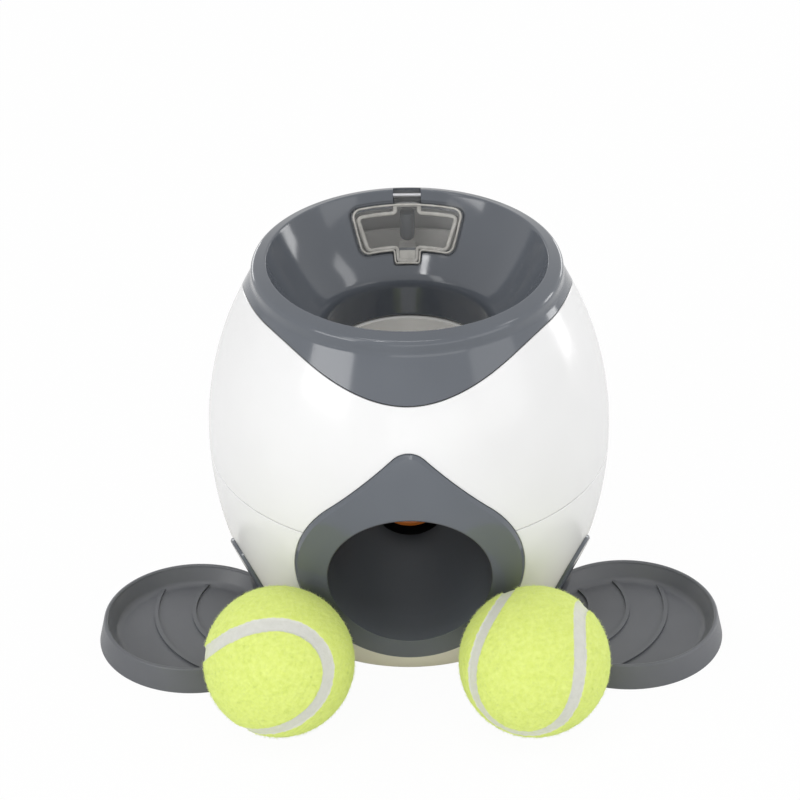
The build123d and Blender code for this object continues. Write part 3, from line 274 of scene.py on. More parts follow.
def wave_height(turn):
    """Height of the parting wave: a smooth curve over x for each of three lobes, solved for the
    azimuth by repeated steps, because x = r(z) sin(turn). Behind the side peaks it falls later:
    local angle = 60 (1 - d^delay), with d from 0 at a peak to 1 in a rear lobe's middle."""
    third = 2 * np.pi / 3
    side = np.abs((np.abs(turn) + np.pi) % (2 * np.pi) - np.pi)
    past = np.abs(np.clip(side - third / 2, 0, third) / (third / 2) - 1)
    local = np.where(side < third / 2, side, third / 2 * (1 - (1 - past) ** REAR_DELAY))
    x, z = np.array(WAVE).T
    knots = np.linspace(x[0], x[-1], 200)
    # Clamped cubic through the five points, from its own second differences
    h = np.diff(x)
    matrix = np.zeros((5, 5))
    known = np.zeros(5)
    matrix[0, :2], matrix[4, 3:] = (2 * h[0], h[0]), (h[3], 2 * h[3])
    known[0], known[4] = 6 * (z[1] - z[0]) / h[0], -6 * (z[4] - z[3]) / h[3]
    for i in (1, 2, 3):
        matrix[i, i - 1 : i + 2] = h[i - 1], 2 * (h[i - 1] + h[i]), h[i]
        known[i] = 6 * ((z[i + 1] - z[i]) / h[i] - (z[i] - z[i - 1]) / h[i - 1])
    bend = np.linalg.solve(matrix, known)
    part = np.clip(np.searchsorted(x, knots) - 1, 0, 3)
    a, b = x[part + 1] - knots, knots - x[part]
    width = h[part]
    curve = (
        (bend[part] * a**3 + bend[part + 1] * b**3) / (6 * width)
        + (z[part] / width - bend[part] * width / 6) * a
        + (z[part + 1] / width - bend[part + 1] * width / 6) * b
    )
    height = np.full(np.shape(turn), NECK_Z)
    for _ in range(12):
        height = np.interp(skin_radius(height) * np.sin(local), knots, curve)
    return height


TIP_LEAN = np.arccos((FRAME_R - TIP_R) / (TIP_Z - EXIT_Z))


def teardrop_top(x):
    """Height over x of the white's edge round the teardrop: tip circle, tangent line, or big
    circle, each grown by the gap."""
    x = np.abs(x)
    lean_s, lean_c = np.sin(TIP_LEAN), np.cos(TIP_LEAN)
    tip, big = TIP_R + FRAME_GAP, FRAME_R + FRAME_GAP
    line = TIP_Z + tip * lean_c - (x - tip * lean_s) * lean_s / lean_c
    ends = np.where(
        x < tip * lean_s,
        TIP_Z + np.sqrt(np.maximum(tip**2 - x**2, 0)),
        EXIT_Z + np.sqrt(np.maximum(big**2 - x**2, 0)),
    )
    return np.where((x >= tip * lean_s) & (x <= big * lean_s), line, ends)


# ---- Finishes ----
# Both ends of the slate's clouding, and bump heights in metres
SLATES = (0.104, 0.115, 0.134), (0.117, 0.129, 0.149)
SLATE_RIPPLE, WHITE_RIPPLE, TRAY_GRAIN, FINE_GRAIN = 0.000012, 0.00002, 0.00003, 0.00001
# Metres along Y from the scoop to the plate's back, over which the scoop's satin and painted shade
# fade in, and millimetres from seam to felt
PLATE_BACK, FELT_STARTS = (-0.066, -0.062), (3.85, 4.35)


def operator(operation, swapped=False):
    """A method that adds one Math node to its value and another."""
    def method(self, other):
        return self.math(operation, *((other, self) if swapped else (self, other)))
    return method


class Value:
    """A shader socket with arithmetic."""

    def __init__(self, paint, socket):
        self.paint, self.socket = paint, socket

    def math(self, operation, *values):
        return self.paint.node(
            "ShaderNodeMath", {"operation": operation}, dict(enumerate(values))
        )

    __add__ = __radd__ = operator("ADD")
    __sub__, __rsub__ = operator("SUBTRACT"), operator("SUBTRACT", swapped=True)
    __mul__, __pow__, maximum = operator("MULTIPLY"), operator("POWER"), operator("MAXIMUM")

    def ramp(self, low, high):
        """0 below low, 1 above high, and a smooth step between."""
        settings = {"interpolation_type": "SMOOTHSTEP"}
        inputs = {"Value": self, "From Min": low, "From Max": high}
        return self.paint.node("ShaderNodeMapRange", settings, inputs)


class Paint:
    """A material: one Principled shader, and nodes added in one way."""

    def __init__(self, name, **shader):
        self.material = bpy.data.materials.new(name)
        self.material.use_nodes = True
        self.tree = self.material.node_tree
        self.tree.nodes.clear()
        self.out = self.tree.nodes.new("ShaderNodeOutputMaterial")
        self.shader = self.tree.nodes.new("ShaderNodeBsdfPrincipled")
        self.tree.links.new(self.shader.outputs[0], self.out.inputs[0])
        self.feed(self.shader, {key.replace("_", " "): value for key, value in shader.items()})

    def feed(self, node, inputs):
        """Set or link a node's inputs."""
        for key, value in inputs.items():
            socket = node.inputs[key]
            if isinstance(value, Value):
                self.tree.links.new(value.socket, socket)
            else:
                socket.default_value = value

    def node(self, kind, settings=None, inputs=None, output=0):
        """A node of a kind, its settings first, then its inputs; the value of one output."""
        node = self.tree.nodes.new(kind)
        for key, value in (settings or {}).items():
            setattr(node, key, value)
        self.feed(node, inputs or {})
        return Value(self, node.outputs[output])

    def place(self):
        """The surface's own coordinates in metres."""
        return self.node("ShaderNodeTexCoord", output="Object")

    def axis(self, name):
        """One of those coordinates."""
        return self.node("ShaderNodeSeparateXYZ", inputs={0: self.place()}, output=name)

    def noise(self, scale, detail=2.0, rough=0.5, at=None):
        """Noise from 0 to 1 with a scale in features per metre."""
        inputs = {"Vector": at or self.place(), "Scale": scale, "Detail": detail,
                  "Roughness": rough}
        return self.node("ShaderNodeTexNoise", inputs=inputs)

    def blend(self, share, *colours):
        """A colour from the first of two to the second by a share."""
        first, second = (c if isinstance(c, Value) else (*c, 1) for c in colours)
        inputs = {0: share, 6: first, 7: second}
        return self.node("ShaderNodeMix", {"data_type": "RGBA"}, inputs, output=2)

    def bump(self, height, distance, strength=1.0):
        """The surface raised by height times a distance in metres."""
        inputs = {"Height": height, "Distance": distance, "Strength": strength}
        return self.node("ShaderNodeBump", inputs=inputs)

    def set(self, **inputs):
        """The material, once the shader's named inputs are fed."""
        self.feed(self.shader, {key.replace("_", " "): value for key, value in inputs.items()})
        return self.material


def gloss_moulding(name, rough, wave):
    """Gloss moulded plastic: a few scuffs and clouding in its roughness and a slow ripple. Gives
    its paint and the clouding, for its colour."""
    paint = Paint(name, IOR=1.5)
    cloud = paint.noise(14.0, 3.0)
    scuff = paint.noise(900.0, 2.0).ramp(0.62, 0.74)
    ripple = paint.noise(110.0, 1.0) + paint.noise(1500.0, 1.0) * 0.06
    paint.set(Roughness=rough + scuff * 0.07 + cloud * 0.03, Normal=paint.bump(ripple, wave))
    return paint, cloud


def satin_moulding(name, low, high, grain):
    """Satin plastic with the fine even grain of a spark-worn mould."""
    paint = Paint(name, IOR=1.48)
    cloud = paint.noise(20.0, 3.0)
    pits = paint.noise(2600.0, 2.0, 0.6)
    return paint.set(
        Base_Color=paint.blend(cloud.ramp(0.3, 0.7), low, high),
        Roughness=0.30 + pits.ramp(0.4, 0.6) * 0.08 + cloud * 0.05,
        Normal=paint.bump(pits, grain),
    )


def body_white():
    """Warm white gloss body: creamier towards its foot."""
    paint, cloud = gloss_moulding("white_gloss_body", 0.17, WHITE_RIPPLE)
    top = paint.blend(cloud.ramp(0.3, 0.7), (0.80, 0.80, 0.80), (0.83, 0.83, 0.832))
    warm = (1 - paint.axis("Z").ramp(-0.004, 0.075)) ** 1.4
    return paint.set(Base_Color=paint.blend(warm, top, (0.86, 0.81, 0.67)))


def gloss_slate():
    """Gloss slate with faint clouding."""
    paint, cloud = gloss_moulding("slate_gloss", 0.10, SLATE_RIPPLE)
    return paint.set(Base_Color=paint.blend(cloud.ramp(0.3, 0.7), *SLATES))


def steel():
    """Drawn steel wire: fine lines along its length."""
    paint = Paint("drawn_steel", Metallic=1.0)
    scale = (40.0, 2500.0, 2500.0)
    stretch = paint.node("ShaderNodeMapping", inputs={0: paint.place(), "Scale": scale})
    lines = paint.noise(1.0, 2.0, at=stretch)
    return paint.set(
        Base_Color=paint.blend(lines, (0.46, 0.46, 0.48), (0.62, 0.62, 0.64)),
        Roughness=0.24 + lines * 0.2,
    )


def rubber():
    """Soft black rubber with a dusty bloom."""
    paint = Paint("pad_rubber")
    bloom = paint.noise(160.0, 4.0)
    dusty = bloom.ramp(0.35, 0.8)
    return paint.set(
        Base_Color=paint.blend(dusty, (0.025, 0.025, 0.027), (0.06, 0.06, 0.06)),
        Roughness=0.75 + bloom * 0.15,
        Normal=paint.bump(paint.noise(1800.0), 0.00004),
    )


def smoky_clear():
    """Smoky clear moulding: a thin grey haze over what lies behind it, with gloss faces."""
    paint = Paint("smoky_clear_lid", IOR=1.5)
    haze = paint.noise(60.0, 3.0)
    return paint.set(
        Base_Color=paint.blend(haze, (0.30, 0.30, 0.295), (0.40, 0.40, 0.39)),
        Roughness=0.05 + haze * 0.05,
        Alpha=0.09 + haze * 0.07,
        Normal=paint.bump(paint.noise(220.0), 0.00002),
    )


def pale_edge_highlight():
    """The lid's walls seen along their depth: a pale, nearly opaque painted highlight for the light
    that the clear plastic carries and reflects there.
    """
    paint = Paint("clear_edges_painted_highlight", IOR=1.46)
    haze = paint.noise(300.0, 3.0)
    return paint.set(
        Base_Color=paint.blend(haze, (0.52, 0.50, 0.46), (0.76, 0.745, 0.70)),
        Roughness=0.12 + haze * 0.12,
        Alpha=0.55 + haze * 0.4,
        Normal=paint.bump(paint.noise(500.0), 0.00003),
    )


def felt():
    """Needle felt over rubber seams: the seam attribute is the distance to the seam's middle in
    millimetres. Fine lumps and fibres in colour and bump, and bare pale rubber in the groove."""
    paint = Paint("ball_felt", Sheen_Weight=0.5, Sheen_Roughness=0.45,
                  Sheen_Tint=(0.85, 1.0, 0.35, 1))
    seam = paint.node("ShaderNodeAttribute", {"attribute_name": "seam"}, output="Fac")
    fray = paint.noise(700.0, 3.0) * 0.9 + paint.noise(220.0, 2.0) * 0.7
    felted = (seam + fray).ramp(*FELT_STARTS)
    lumps = paint.noise(420.0, 4.0, 0.65)
    fibres = paint.noise(1600.0, 3.0, 0.7)
    yellow = paint.blend(lumps.ramp(0.25, 0.75), (0.68, 0.79, 0.17), (0.76, 0.865, 0.24))
    yellow = paint.blend(fibres.ramp(0.5, 0.78) * 0.4, yellow, (0.83, 0.91, 0.36))
    pale = paint.blend(paint.noise(400.0, 3.0), (0.60, 0.60, 0.555), (0.72, 0.72, 0.68))
    return paint.set(
        Base_Color=paint.blend(felted, pale, yellow),
        Roughness=0.62 + felted * 0.3,
        Normal=paint.bump(lumps * 0.6 + fibres * 0.4, 0.0006, 0.9),
    )


def fibre_tufts():
    """Loose felt fibres, a little brighter than the felt they stand in."""
    paint = Paint("felt_fibres", Roughness=0.9, Sheen_Weight=0.4)
    shade = paint.noise(500.0, 2.0)
    return paint.set(
        Base_Color=paint.blend(shade, (0.68, 0.80, 0.18), (0.82, 0.92, 0.34)),
        Roughness=0.85 + shade * 0.1,
    )


def frame_slate_scoop_shade():
    """Gloss slate on the front, and in the scoop (inside the mouth's circle, or behind the plate) a
    satin whose colour is painted shade, darkest towards the scoop's top."""
    paint, cloud = gloss_moulding("slate_gloss_frame_scoop_shade", 0.10, SLATE_RIPPLE)
    x, y, z = paint.axis("X"), paint.axis("Y"), paint.axis("Z") - 0.001 * EXIT_Z
    away = (x * x + z * z) ** 0.5
    mouth = 1 - away.ramp(0.001 * TUBE_R, 0.001 * TUBE_R + 0.0006)
    inside = mouth.maximum(y.ramp(*PLATE_BACK))
    front = paint.blend(cloud.ramp(0.3, 0.7), *SLATES)
    # Painted shade in the scoop: the slate darkened from (0.105, 0.117, 0.133) low down to near
    # black towards its top
    scoop_painted_shade = paint.blend(z.ramp(-0.034, 0.012), (0.105, 0.117, 0.133), (0.028, 0.029, 0.031))
    grain = paint.noise(1800.0, 2.0)
    return paint.set(
        Base_Color=paint.blend(inside, front, scoop_painted_shade),
        Roughness=0.11 + cloud * 0.03 + inside * (0.34 + grain * 0.1),
    )


white = body_white()
slate, slate_frame_scoop_shade = gloss_slate(), frame_slate_scoop_shade()
dark = satin_moulding("dark_satin_trays", (0.105, 0.110, 0.121), (0.125, 0.130, 0.142), TRAY_GRAIN)
inner_white = satin_moulding("white_satin_inside", (0.84, 0.83, 0.80), (0.88, 0.87, 0.845),
                             FINE_GRAIN)
orange = satin_moulding("orange_satin_trigger", (0.80, 0.20, 0.02), (0.88, 0.26, 0.03), FINE_GRAIN)
metal, pad_black, clear, clear_edge_highlight = steel(), rubber(), smoky_clear(), pale_edge_highlight()
ball_felt, tufts = felt(), fibre_tufts()


# ---- Cutting and polishing ----
def carve(mesh, cutters):
    """The mesh less each closed cutter mesh, as a new mesh."""
    kept = linked("carved", mesh)
    tools = [linked("cutter", cutter) for cutter in cutters]
    for tool in tools:
        cut = kept.modifiers.new("cut", "BOOLEAN")
        cut.operation, cut.solver, cut.object = "DIFFERENCE", "EXACT", tool
    carved = bpy.data.meshes.new_from_object(
        kept.evaluated_get(bpy.context.evaluated_depsgraph_get())
    )
    for spent in [kept] + tools:
        bpy.data.objects.remove(spent)
    carved.name = mesh.name
    carved.materials.clear()
    return carved


def crisp(mesh, degrees=38.0):
    """Smooth shading that stops at edges sharper than an angle."""
    mesh.polygons.foreach_set("use_smooth", np.ones(len(mesh.polygons), bool))
    mesh.set_sharp_from_angle(angle=np.radians(degrees))
    return mesh


def across_prism(profile, half_x):
    """A closed outline in y and z carried along X, both ways from the middle plane."""
    x = np.array([-half_x, half_x])[:, None] + np.zeros(len(profile))
    flat = np.broadcast_to(profile, (2, len(profile), 2))
    return woven("prism", np.concatenate([x[..., None], flat], axis=-1), capped=True)


# ---- White body ----
def upper_shell():
    """Columns by azimuth, rows from the seam or the teardrop's edge up to the wave, on the skin."""
    stops, counts = (-180, -42, -15, 15, 42, 180), (110, 60, 96, 60, 110)
    turn = np.radians(spaced(stops, counts)[:-1])
    low = np.full(turn.shape, SEAM_Z + SEAM_GAP / 2)
    front = np.abs(turn) < np.pi / 2
    for _ in range(20):
        edge = teardrop_top(skin_radius(low) * np.sin(turn))
        low = np.where(front, np.maximum(edge, SEAM_Z + SEAM_GAP / 2), low)
    border, under_flare = 0.6, 0.8
    high = np.minimum(wave_height(turn) - WAVE_GAP, FLARE_Z - under_flare)
    run = np.linspace(0, 1, 46)[:, None]
    z = np.concatenate([[low], low + border + (high - low - 2 * border) * run, [high]])
    outer = around(turn, skin_radius(z), z)
    return woven("upper_shell_skin", walled(outer), shut=True)


# The lower shell's columns: azimuth on the foot below the frame's corner and least fall of a
# column's start in degrees, and millimetres over which the fall settles, of unrolled skin per
# radian, and of a column's longest lead at its start and at the foot; then a lead's largest
# share of the height, and the power that spreads the front columns over the foot
FOOT_CORNER, LEAD_LEAST, LEAD_SETTLES, UNROLLED = 62.0, -33, 10, 80.0
START_LEAD, FOOT_LEAD, LEAD_SHARE, FOOT_SPREAD = 14, 34, 0.4, 0.85


def lower_shell():
    """Columns start square to the teardrop's edge or the seam, and bend to stand straight on the
    foot: cubic curves on the unrolled skin. The skin's radius has the two side facets in it."""
    ring = FRAME_R + FRAME_GAP
    top = SEAM_Z - SEAM_GAP / 2
    last = np.arccos((EXIT_Z - top) / ring)
    arc = np.linspace(0, last, 70)
    corner = np.arcsin(ring * np.sin(last) / skin_radius(top))
    seam = np.radians(spaced([np.degrees(corner), 45, 100, 180], [26, 90, 60])[1:])
    arc_z = EXIT_Z - ring * np.cos(arc)
    start_turn = np.concatenate([np.arcsin(ring * np.sin(arc) / skin_radius(arc_z)), seam])
    start_z = np.concatenate([arc_z, np.full(seam.shape, top)])
    foot = np.radians(FOOT_CORNER)
    foot_turn = np.concatenate([
        foot * (arc / last) ** FOOT_SPREAD,
        foot + (seam - corner) * (np.pi - foot) / (np.pi - corner)
    ])
    settle = np.exp(-(seam - corner) * UNROLLED / LEAD_SETTLES)
    lead = np.radians(np.concatenate([
        np.minimum(np.degrees(arc) - 90, LEAD_LEAST), -90 + (90 + LEAD_LEAST) * settle
    ]))
    begin = np.stack([start_turn * UNROLLED, start_z], axis=1)
    reach = np.minimum(START_LEAD, LEAD_SHARE * start_z)
    rise = np.minimum(FOOT_LEAD, LEAD_SHARE * start_z)
    first = begin + reach[:, None] * np.stack([np.cos(lead), np.sin(lead)], 1)
    end = np.stack([foot_turn * UNROLLED, np.zeros(foot_turn.shape)], axis=1)
    second = end + np.stack([np.zeros(len(end)), rise], axis=1)
    border = 0.2
    near, far = border / reach, border / rise
    run = near + (1 - near - far) * np.linspace(0, 1, 72)[:, None]
    share = np.concatenate([np.zeros((1, len(end))), run, np.ones((1, len(end)))])[..., None]
    curve = (
        (1 - share) ** 3 * begin + 3 * (1 - share) ** 2 * share * first
        + 3 * (1 - share) * share**2 * second + share**3 * end
    )
    turn, z = curve[..., 0] / UNROLLED, curve[..., 1]
    turn = np.concatenate([-turn[:, :0:-1], turn], axis=1)[:, 1:]
    z = np.concatenate([z[:, :0:-1], z], axis=1)[:, 1:]
    outer = around(turn, body_radius(turn, z), z)[::-1]
    mesh = woven("lower_shell_skin", walled(outer), shut=True)
    cutters = [cut(side) for side in SIDES.values() for cut in (outlet_prism, slot_prism)]
    return crisp(carve(mesh, cutters))


def facet_frame(side):
    """Foot point, level axis, rising axis and outward normal of a side facet."""
    turn = side * np.radians(SIDE_TURN)
    away = np.array([np.sin(turn), -np.cos(turn), 0.0])
    normal = away * np.cos(FACET_LEAN) - np.array([0, 0, np.sin(FACET_LEAN)])
    level = np.cross([0, 0, 1.0], away)
    return away * (FOOT_R - FACET_INSET), level, np.cross(normal, level), normal


def on_facet(side, flat, out):
    """Points at a facet's own coordinates, moved out along its normal."""
    foot, level, rise, normal = facet_frame(side)
    return foot + flat[:, :1] * level + flat[:, 1:] * rise + out * normal


def outlet_prism(side):
    """Closed prism of a treat outlet, a rounded oblong, through its facet."""
    w, h, up = OUTLET_W / 2, OUTLET_H / 2, OUTLET_Z / np.cos(FACET_LEAN)
    corners = [(-w, up - h), (w, up - h), (w, up + h), (-w, up + h)]
    flat = closed_outline(corners, [OUTLET_ROUND] * 4)
    loops = np.stack([on_facet(side, flat, out) for out in (OUTLET_REACH, -OUTLET_REACH)])
    return woven("outlet", loops, capped=True)


def slot_prism(side):
    """Closed prism of the tray tongue's slot in the foot."""
    foot, level, _, _ = facet_frame(side)
    w = SLOT_HALF_W
    corners = [(-w, SLOT_LOW), (w, SLOT_LOW), (w, SLOT_HIGH), (-w, SLOT_HIGH)]
    flat = closed_outline(corners, [SLOT_ROUND] * 4)
    ring = flat[:, :1] * level + flat[:, 1:] * np.array([0, 0, 1.0])
    return woven("slot", np.stack([ring + unit(foot) * far for far in SLOT_REACH]), capped=True)


# ---- Top collar ----
BOWL_CHORD = np.hypot(CREST_R - BOWL_END_R, CREST_Z - BOWL_END_Z)
BOWL_ARC = BOWL_CHORD**2 / (8 * BOWL_SAG) + BOWL_SAG / 2
BOWL_SLOPE = np.arctan2(CREST_Z - BOWL_END_Z, CREST_R - BOWL_END_R)
BOWL_MIDDLE = np.array([
    (CREST_R + BOWL_END_R) / 2 - (BOWL_ARC - BOWL_SAG) * np.sin(BOWL_SLOPE),
    (CREST_Z + BOWL_END_Z) / 2 + (BOWL_ARC - BOWL_SAG) * np.cos(BOWL_SLOPE),
])
BOWL_END_TURN = BOWL_SLOPE - 2 * np.arctan(2 * BOWL_SAG / BOWL_CHORD)
FLARE_R = RIM_R + RIM_HOLLOW * (1 - np.cos(NECK_LEAN))
FLARE_Z = NECK_Z + (NECK_R - FLARE_R) / np.tan(NECK_LEAN)
RIM_LOW_Z = FLARE_Z + RIM_HOLLOW * np.sin(NECK_LEAN)
RIM_TOP_Z = RIM_LOW_Z + RIM_BAND + RIM_SHOULDER


def collar_profile(inset, crest_round):
    """Radius and height from the flare's start over rim, land, crest and bowl to the throat's
    foot, each line and arc moved into the wall by an inset."""
    turn = np.linspace(NECK_LEAN, 0, 10)
    hollow = RIM_HOLLOW + inset
    flare = np.stack([
        RIM_R + RIM_HOLLOW - hollow * np.cos(turn), RIM_LOW_Z - hollow * np.sin(turn)
    ], axis=1)
    fall = np.arctan2(CREST_Z - RIM_TOP_Z, RIM_R - CREST_R)
    corner = np.array([RIM_R - inset, RIM_TOP_Z - inset * (1 / np.cos(fall) - np.tan(fall))])
    run = corner - BOWL_MIDDLE
    along = -run[0] * np.cos(fall) + run[1] * np.sin(fall)
    reach = BOWL_ARC + inset
    travel = -along - np.sqrt(along**2 - run @ run + reach**2)
    crest = corner + travel * np.array([-np.cos(fall), np.sin(fall)])
    start = np.arctan2(*(crest - BOWL_MIDDLE)[::-1])
    turns = np.linspace(start, BOWL_END_TURN - np.pi / 2, 60)
    bowl = BOWL_MIDDLE + reach * np.stack([np.cos(turns), np.sin(turns)], axis=1)
    throat = THROAT_R + inset
    foot = np.array([throat, bowl[-1, 1] - (bowl[-1, 0] - throat) * np.tan(BOWL_END_TURN)])
    land = [corner_arc(flare[-1], corner, crest, max(RIM_SHOULDER - inset, 0.3), 12)]
    if crest_round:
        land.append(corner_arc(corner, crest, bowl[4], crest_round, 8))
        bowl = bowl[3:]
    shoulder = corner_arc(bowl[-1], foot, np.array([throat, THROAT_LOW]),
                          THROAT_ROUND - inset, 16)
    tail = np.stack([np.full(8, throat), np.linspace(shoulder[-1, 1], THROAT_LOW, 9)[1:]], 1)
    return np.concatenate([flare, *land, bowl, shoulder, tail])


def top_collar():
    """Columns by azimuth. The outer rows climb the skin from the wave and then follow the
    profile of revolution; the inner rows come back along the profile moved into the wall."""
    turn = np.radians(np.arange(0, 360, 1.2))
    edge = wave_height(turn)
    share = np.linspace(0, 1, 18)[:, None]

    def climb(inset, lift=0.0):
        top = FLARE_Z - inset * np.sin(NECK_LEAN)
        low = np.minimum(edge + lift, top - 0.4)
        z = low + (top - low) * share
        return around(turn, skin_radius(z, -inset), z)

    def revolve(path):
        return around(turn, path[:, :1], path[:, 1:])

    front = revolve(filled_in(collar_profile(0.0, CREST_ROUND), 1.2)[1:])
    back = revolve(filled_in(collar_profile(BOWL_WALL, 0.0), 3.0)[1:])
    outer, inner, soft = climb(0.0, 0.3), climb(FLARE_WALL), climb(0.35)[:1]
    lip = revolve(np.array([THROAT_R, THROAT_LOW]) + THROAT_LIP)
    rows = np.concatenate([outer, front, lip, back[::-1], inner[::-1], soft])
    mesh = woven("collar_skin", rows, shut=True)
    seat = lid_solid("seat", LID_GAP, [(SEAT_REACH, 0), (LID_THICK - LID_PROUD + LID_GAP, 0)])
    rebate = lid_plain("rebate", SEAT_REBATE, [(SEAT_REACH, 0), (SEAT_REBATE_DEEP, 0)])
    mouth = lid_plain("mouth", -LID_LEDGE, [(depth, 0) for depth in MOUTH_REACH])
    notch = across_prism(notch_profile(), KNUCKLE_HALF + LID_GAP)
    return crisp(carve(mesh, [seat, rebate, mouth, notch]))


def screw_post():
    """Round post of the hopper's screw under the hinge: a lathe with a rounded lower end."""
    turn = np.linspace(0, 2 * np.pi, 49)[:-1]
    low = [(POST_R - POST_ROUND + POST_ROUND * np.sin(a), POST_LOW + POST_ROUND * (1 - np.cos(a)))
           for a in np.linspace(0, np.pi / 2, 7)]
    profile = np.array([(0.0, POST_LOW)] + low + [(POST_R, POST_HIGH), (0.0, POST_HIGH)])
    radius, z = profile[:, :1], profile[:, 1:]
    x, y = radius * np.sin(turn), POST_Y - radius * np.cos(turn)
    return crisp(woven("post", np.stack(np.broadcast_arrays(x, y, z), axis=-1)), 50.0)


# ---- Hopper lid ----
LID_SPREAD = 52.0  # millimetres round the wall per radian of azimuth
LID_HALF, TAB_SIDE = np.radians(LID_TURN) * LID_SPREAD, LID_TAB_HALF * LID_SPREAD / LID_TAB_R


def bowl_turn(z):
    """Angle on the bowl's arc at a height."""
    return np.arcsin((z - BOWL_MIDDLE[1]) / BOWL_ARC)


LID_MIDDLE = bowl_turn((LID_LOW + LID_HIGH) / 2)


def on_bowl(flat, depth):
    """Points at the bowl's unrolled coordinates (millimetres round and up the wall from the
    lid's middle), moved into the wall by a depth."""
    turn = LID_MIDDLE + flat[..., 1] / BOWL_ARC
    reach = BOWL_ARC + depth
    radius, z = BOWL_MIDDLE[0] + reach * np.cos(turn), BOWL_MIDDLE[1] + reach * np.sin(turn)
    return around(np.pi - flat[..., 0] / LID_SPREAD, radius, z)


def lid_height(z):
    """Distance up the bowl's wall from the lid's middle to a height."""
    return float((bowl_turn(z) - LID_MIDDLE) * BOWL_ARC)


def lid_corners(inset=0.0):
    """Corners on the unrolled bowl of the lid's oblong with its finger tab, moved inwards."""
    half, side, high = LID_HALF - inset, TAB_SIDE - inset, lid_height(LID_HIGH) - inset
    low, tab = lid_height(LID_LOW) + inset, lid_height(LID_TAB_LOW) + inset
    return [(-half, low), (-side, low), (-side, tab), (side, tab), (side, low), (half, low),
            (half, high), (-half, high)]


def lid_block(name, outline, path):
    """Closed solid on the bowl: loops of an outline at stations of (depth, extra grow), each end
    run in to the middle in rings so that the faces follow the bowl."""
    flats = [(ray_loop(outline(more), compass(480)), depth) for depth, more in path]
    shares = (0.0, 0.03, 0.15, 0.3, 0.45, 0.6, 0.75, 0.88)
    loops = [on_bowl(flats[0][0] * share, flats[0][1]) for share in shares]
    loops += [on_bowl(flat, depth) for flat, depth in flats]
    loops += [on_bowl(flats[-1][0] * share, flats[-1][1]) for share in shares[::-1]]
    return woven(name, np.stack(loops))


def lid_solid(name, grow, path):
    """Block of the lid's outline with its finger tab."""
    rounds = [LID_ROUND, 0.9, 1.2, 1.2, 0.9, LID_ROUND, LID_ROUND, LID_ROUND]
    return lid_block(name, lambda more: closed_outline(lid_corners(), rounds, grow + more), path)


def lid_plain(name, grow, path):
    """Block of the lid's oblong without the tab."""
    low, high = lid_height(LID_LOW), lid_height(LID_HIGH)
    corners = [(-LID_HALF, low), (LID_HALF, low), (LID_HALF, high), (-LID_HALF, high)]
    rounds = [LID_ROUND] * 4
    return lid_block(name, lambda more: closed_outline(corners, rounds, grow + more), path)


def lid_plate():
    """The lid's clear plate on the bowl's curve, its edge rounded on both faces."""
    turn = np.linspace(0, np.pi / 2, 5)
    far = LID_THICK - LID_PROUD
    path = [(-LID_PROUD + LID_EDGE * (1 - np.sin(a)), LID_EDGE * (np.cos(a) - 1))
            for a in turn[::-1]]
    path += [(far - LID_EDGE * (1 - np.sin(a)), LID_EDGE * (np.cos(a) - 1)) for a in turn]
    return crisp(lid_solid("lid_plate", 0, path), 60.0)


def lid_ridge(corners, rounds, half_width, near, far, name):
    """A ridge on the bowl along a closed outline: a rectangle with softened edges, swept."""
    soft = min(0.3, half_width * 0.6)
    path = [(-half_width, far - soft), (-half_width, near + soft), (soft - half_width, near),
            (half_width - soft, near), (half_width, near + soft), (half_width, far - soft),
            (half_width - soft, far), (soft - half_width, far)]
    loops = []
    for grow, depth in path:
        flat = closed_outline(corners, np.asarray(rounds) + half_width, grow)
        share = np.linspace(0, 1, 9)[:-1, None]
        ahead = np.roll(flat, -1, 0)
        flat = (flat[:, None] * (1 - share) + ahead[:, None] * share).reshape(-1, 2)
        loops.append(on_bowl(flat, depth))
    return crisp(woven(name, np.stack(loops), shut=True), 60.0)


def lid_inner_wall():
    """Wall behind the plate that steps up round the hinge neck and down into the tab."""
    half, step, slope = LID_HALF - 2.6, 4.9, 1.6
    low, high = lid_height(LID_LOW) + 2.0, lid_height(LID_HIGH) - 4.4
    tab, top = lid_height(LID_TAB_LOW) + 1.8, lid_height(LID_HIGH) - 0.9
    corners = [(-half + slope, low), (-step, low), (-step, tab), (step, tab), (step, low),
               (half - slope, low), (half, high), (step, high), (step, top), (-step, top),
               (-step, high), (-half, high)]
    rounds = [1.4, 0.5, 0.6, 0.6, 0.5, 1.4, 1.0, 0.5, 0.5, 0.5, 0.5, 1.0]
    return lid_ridge(corners, rounds, LID_WALL_SEEN / 2, -LID_PROUD + 0.1,
                     LID_THICK - LID_PROUD + LID_RIB_H, "lid_inner_wall")


def lid_tab_core():
    """Core of the finger tab between the walls, in the pale painted highlight of the lid's walls.
    """
    low, high, side = lid_height(LID_TAB_LOW) + 2.6, lid_height(LID_LOW) + 0.6, 4.0
    flat = closed_outline([(-side, low), (side, low), (side, high), (-side, high)], [0.5] * 4)
    loops = np.stack([on_bowl(flat, depth) for depth in (-LID_PROUD + 0.15, 1.2)])
    return crisp(woven("lid_tab_core", loops, capped=True), 50.0)


def lid_outer_bead():
    """Low bead just inside the plate's own outline, proud of its face, in the pale painted
    highlight of the lid's edge line.
    """
    rounds = [3.2, 0.5, 0.7, 0.7, 0.5, 3.2, 3.2, 3.2]
    return lid_ridge(lid_corners(BEAD_INSET), rounds, BEAD_HALF, -LID_PROUD - BEAD_PROUD, BEAD_DEEP,
                     "lid_outer_bead")


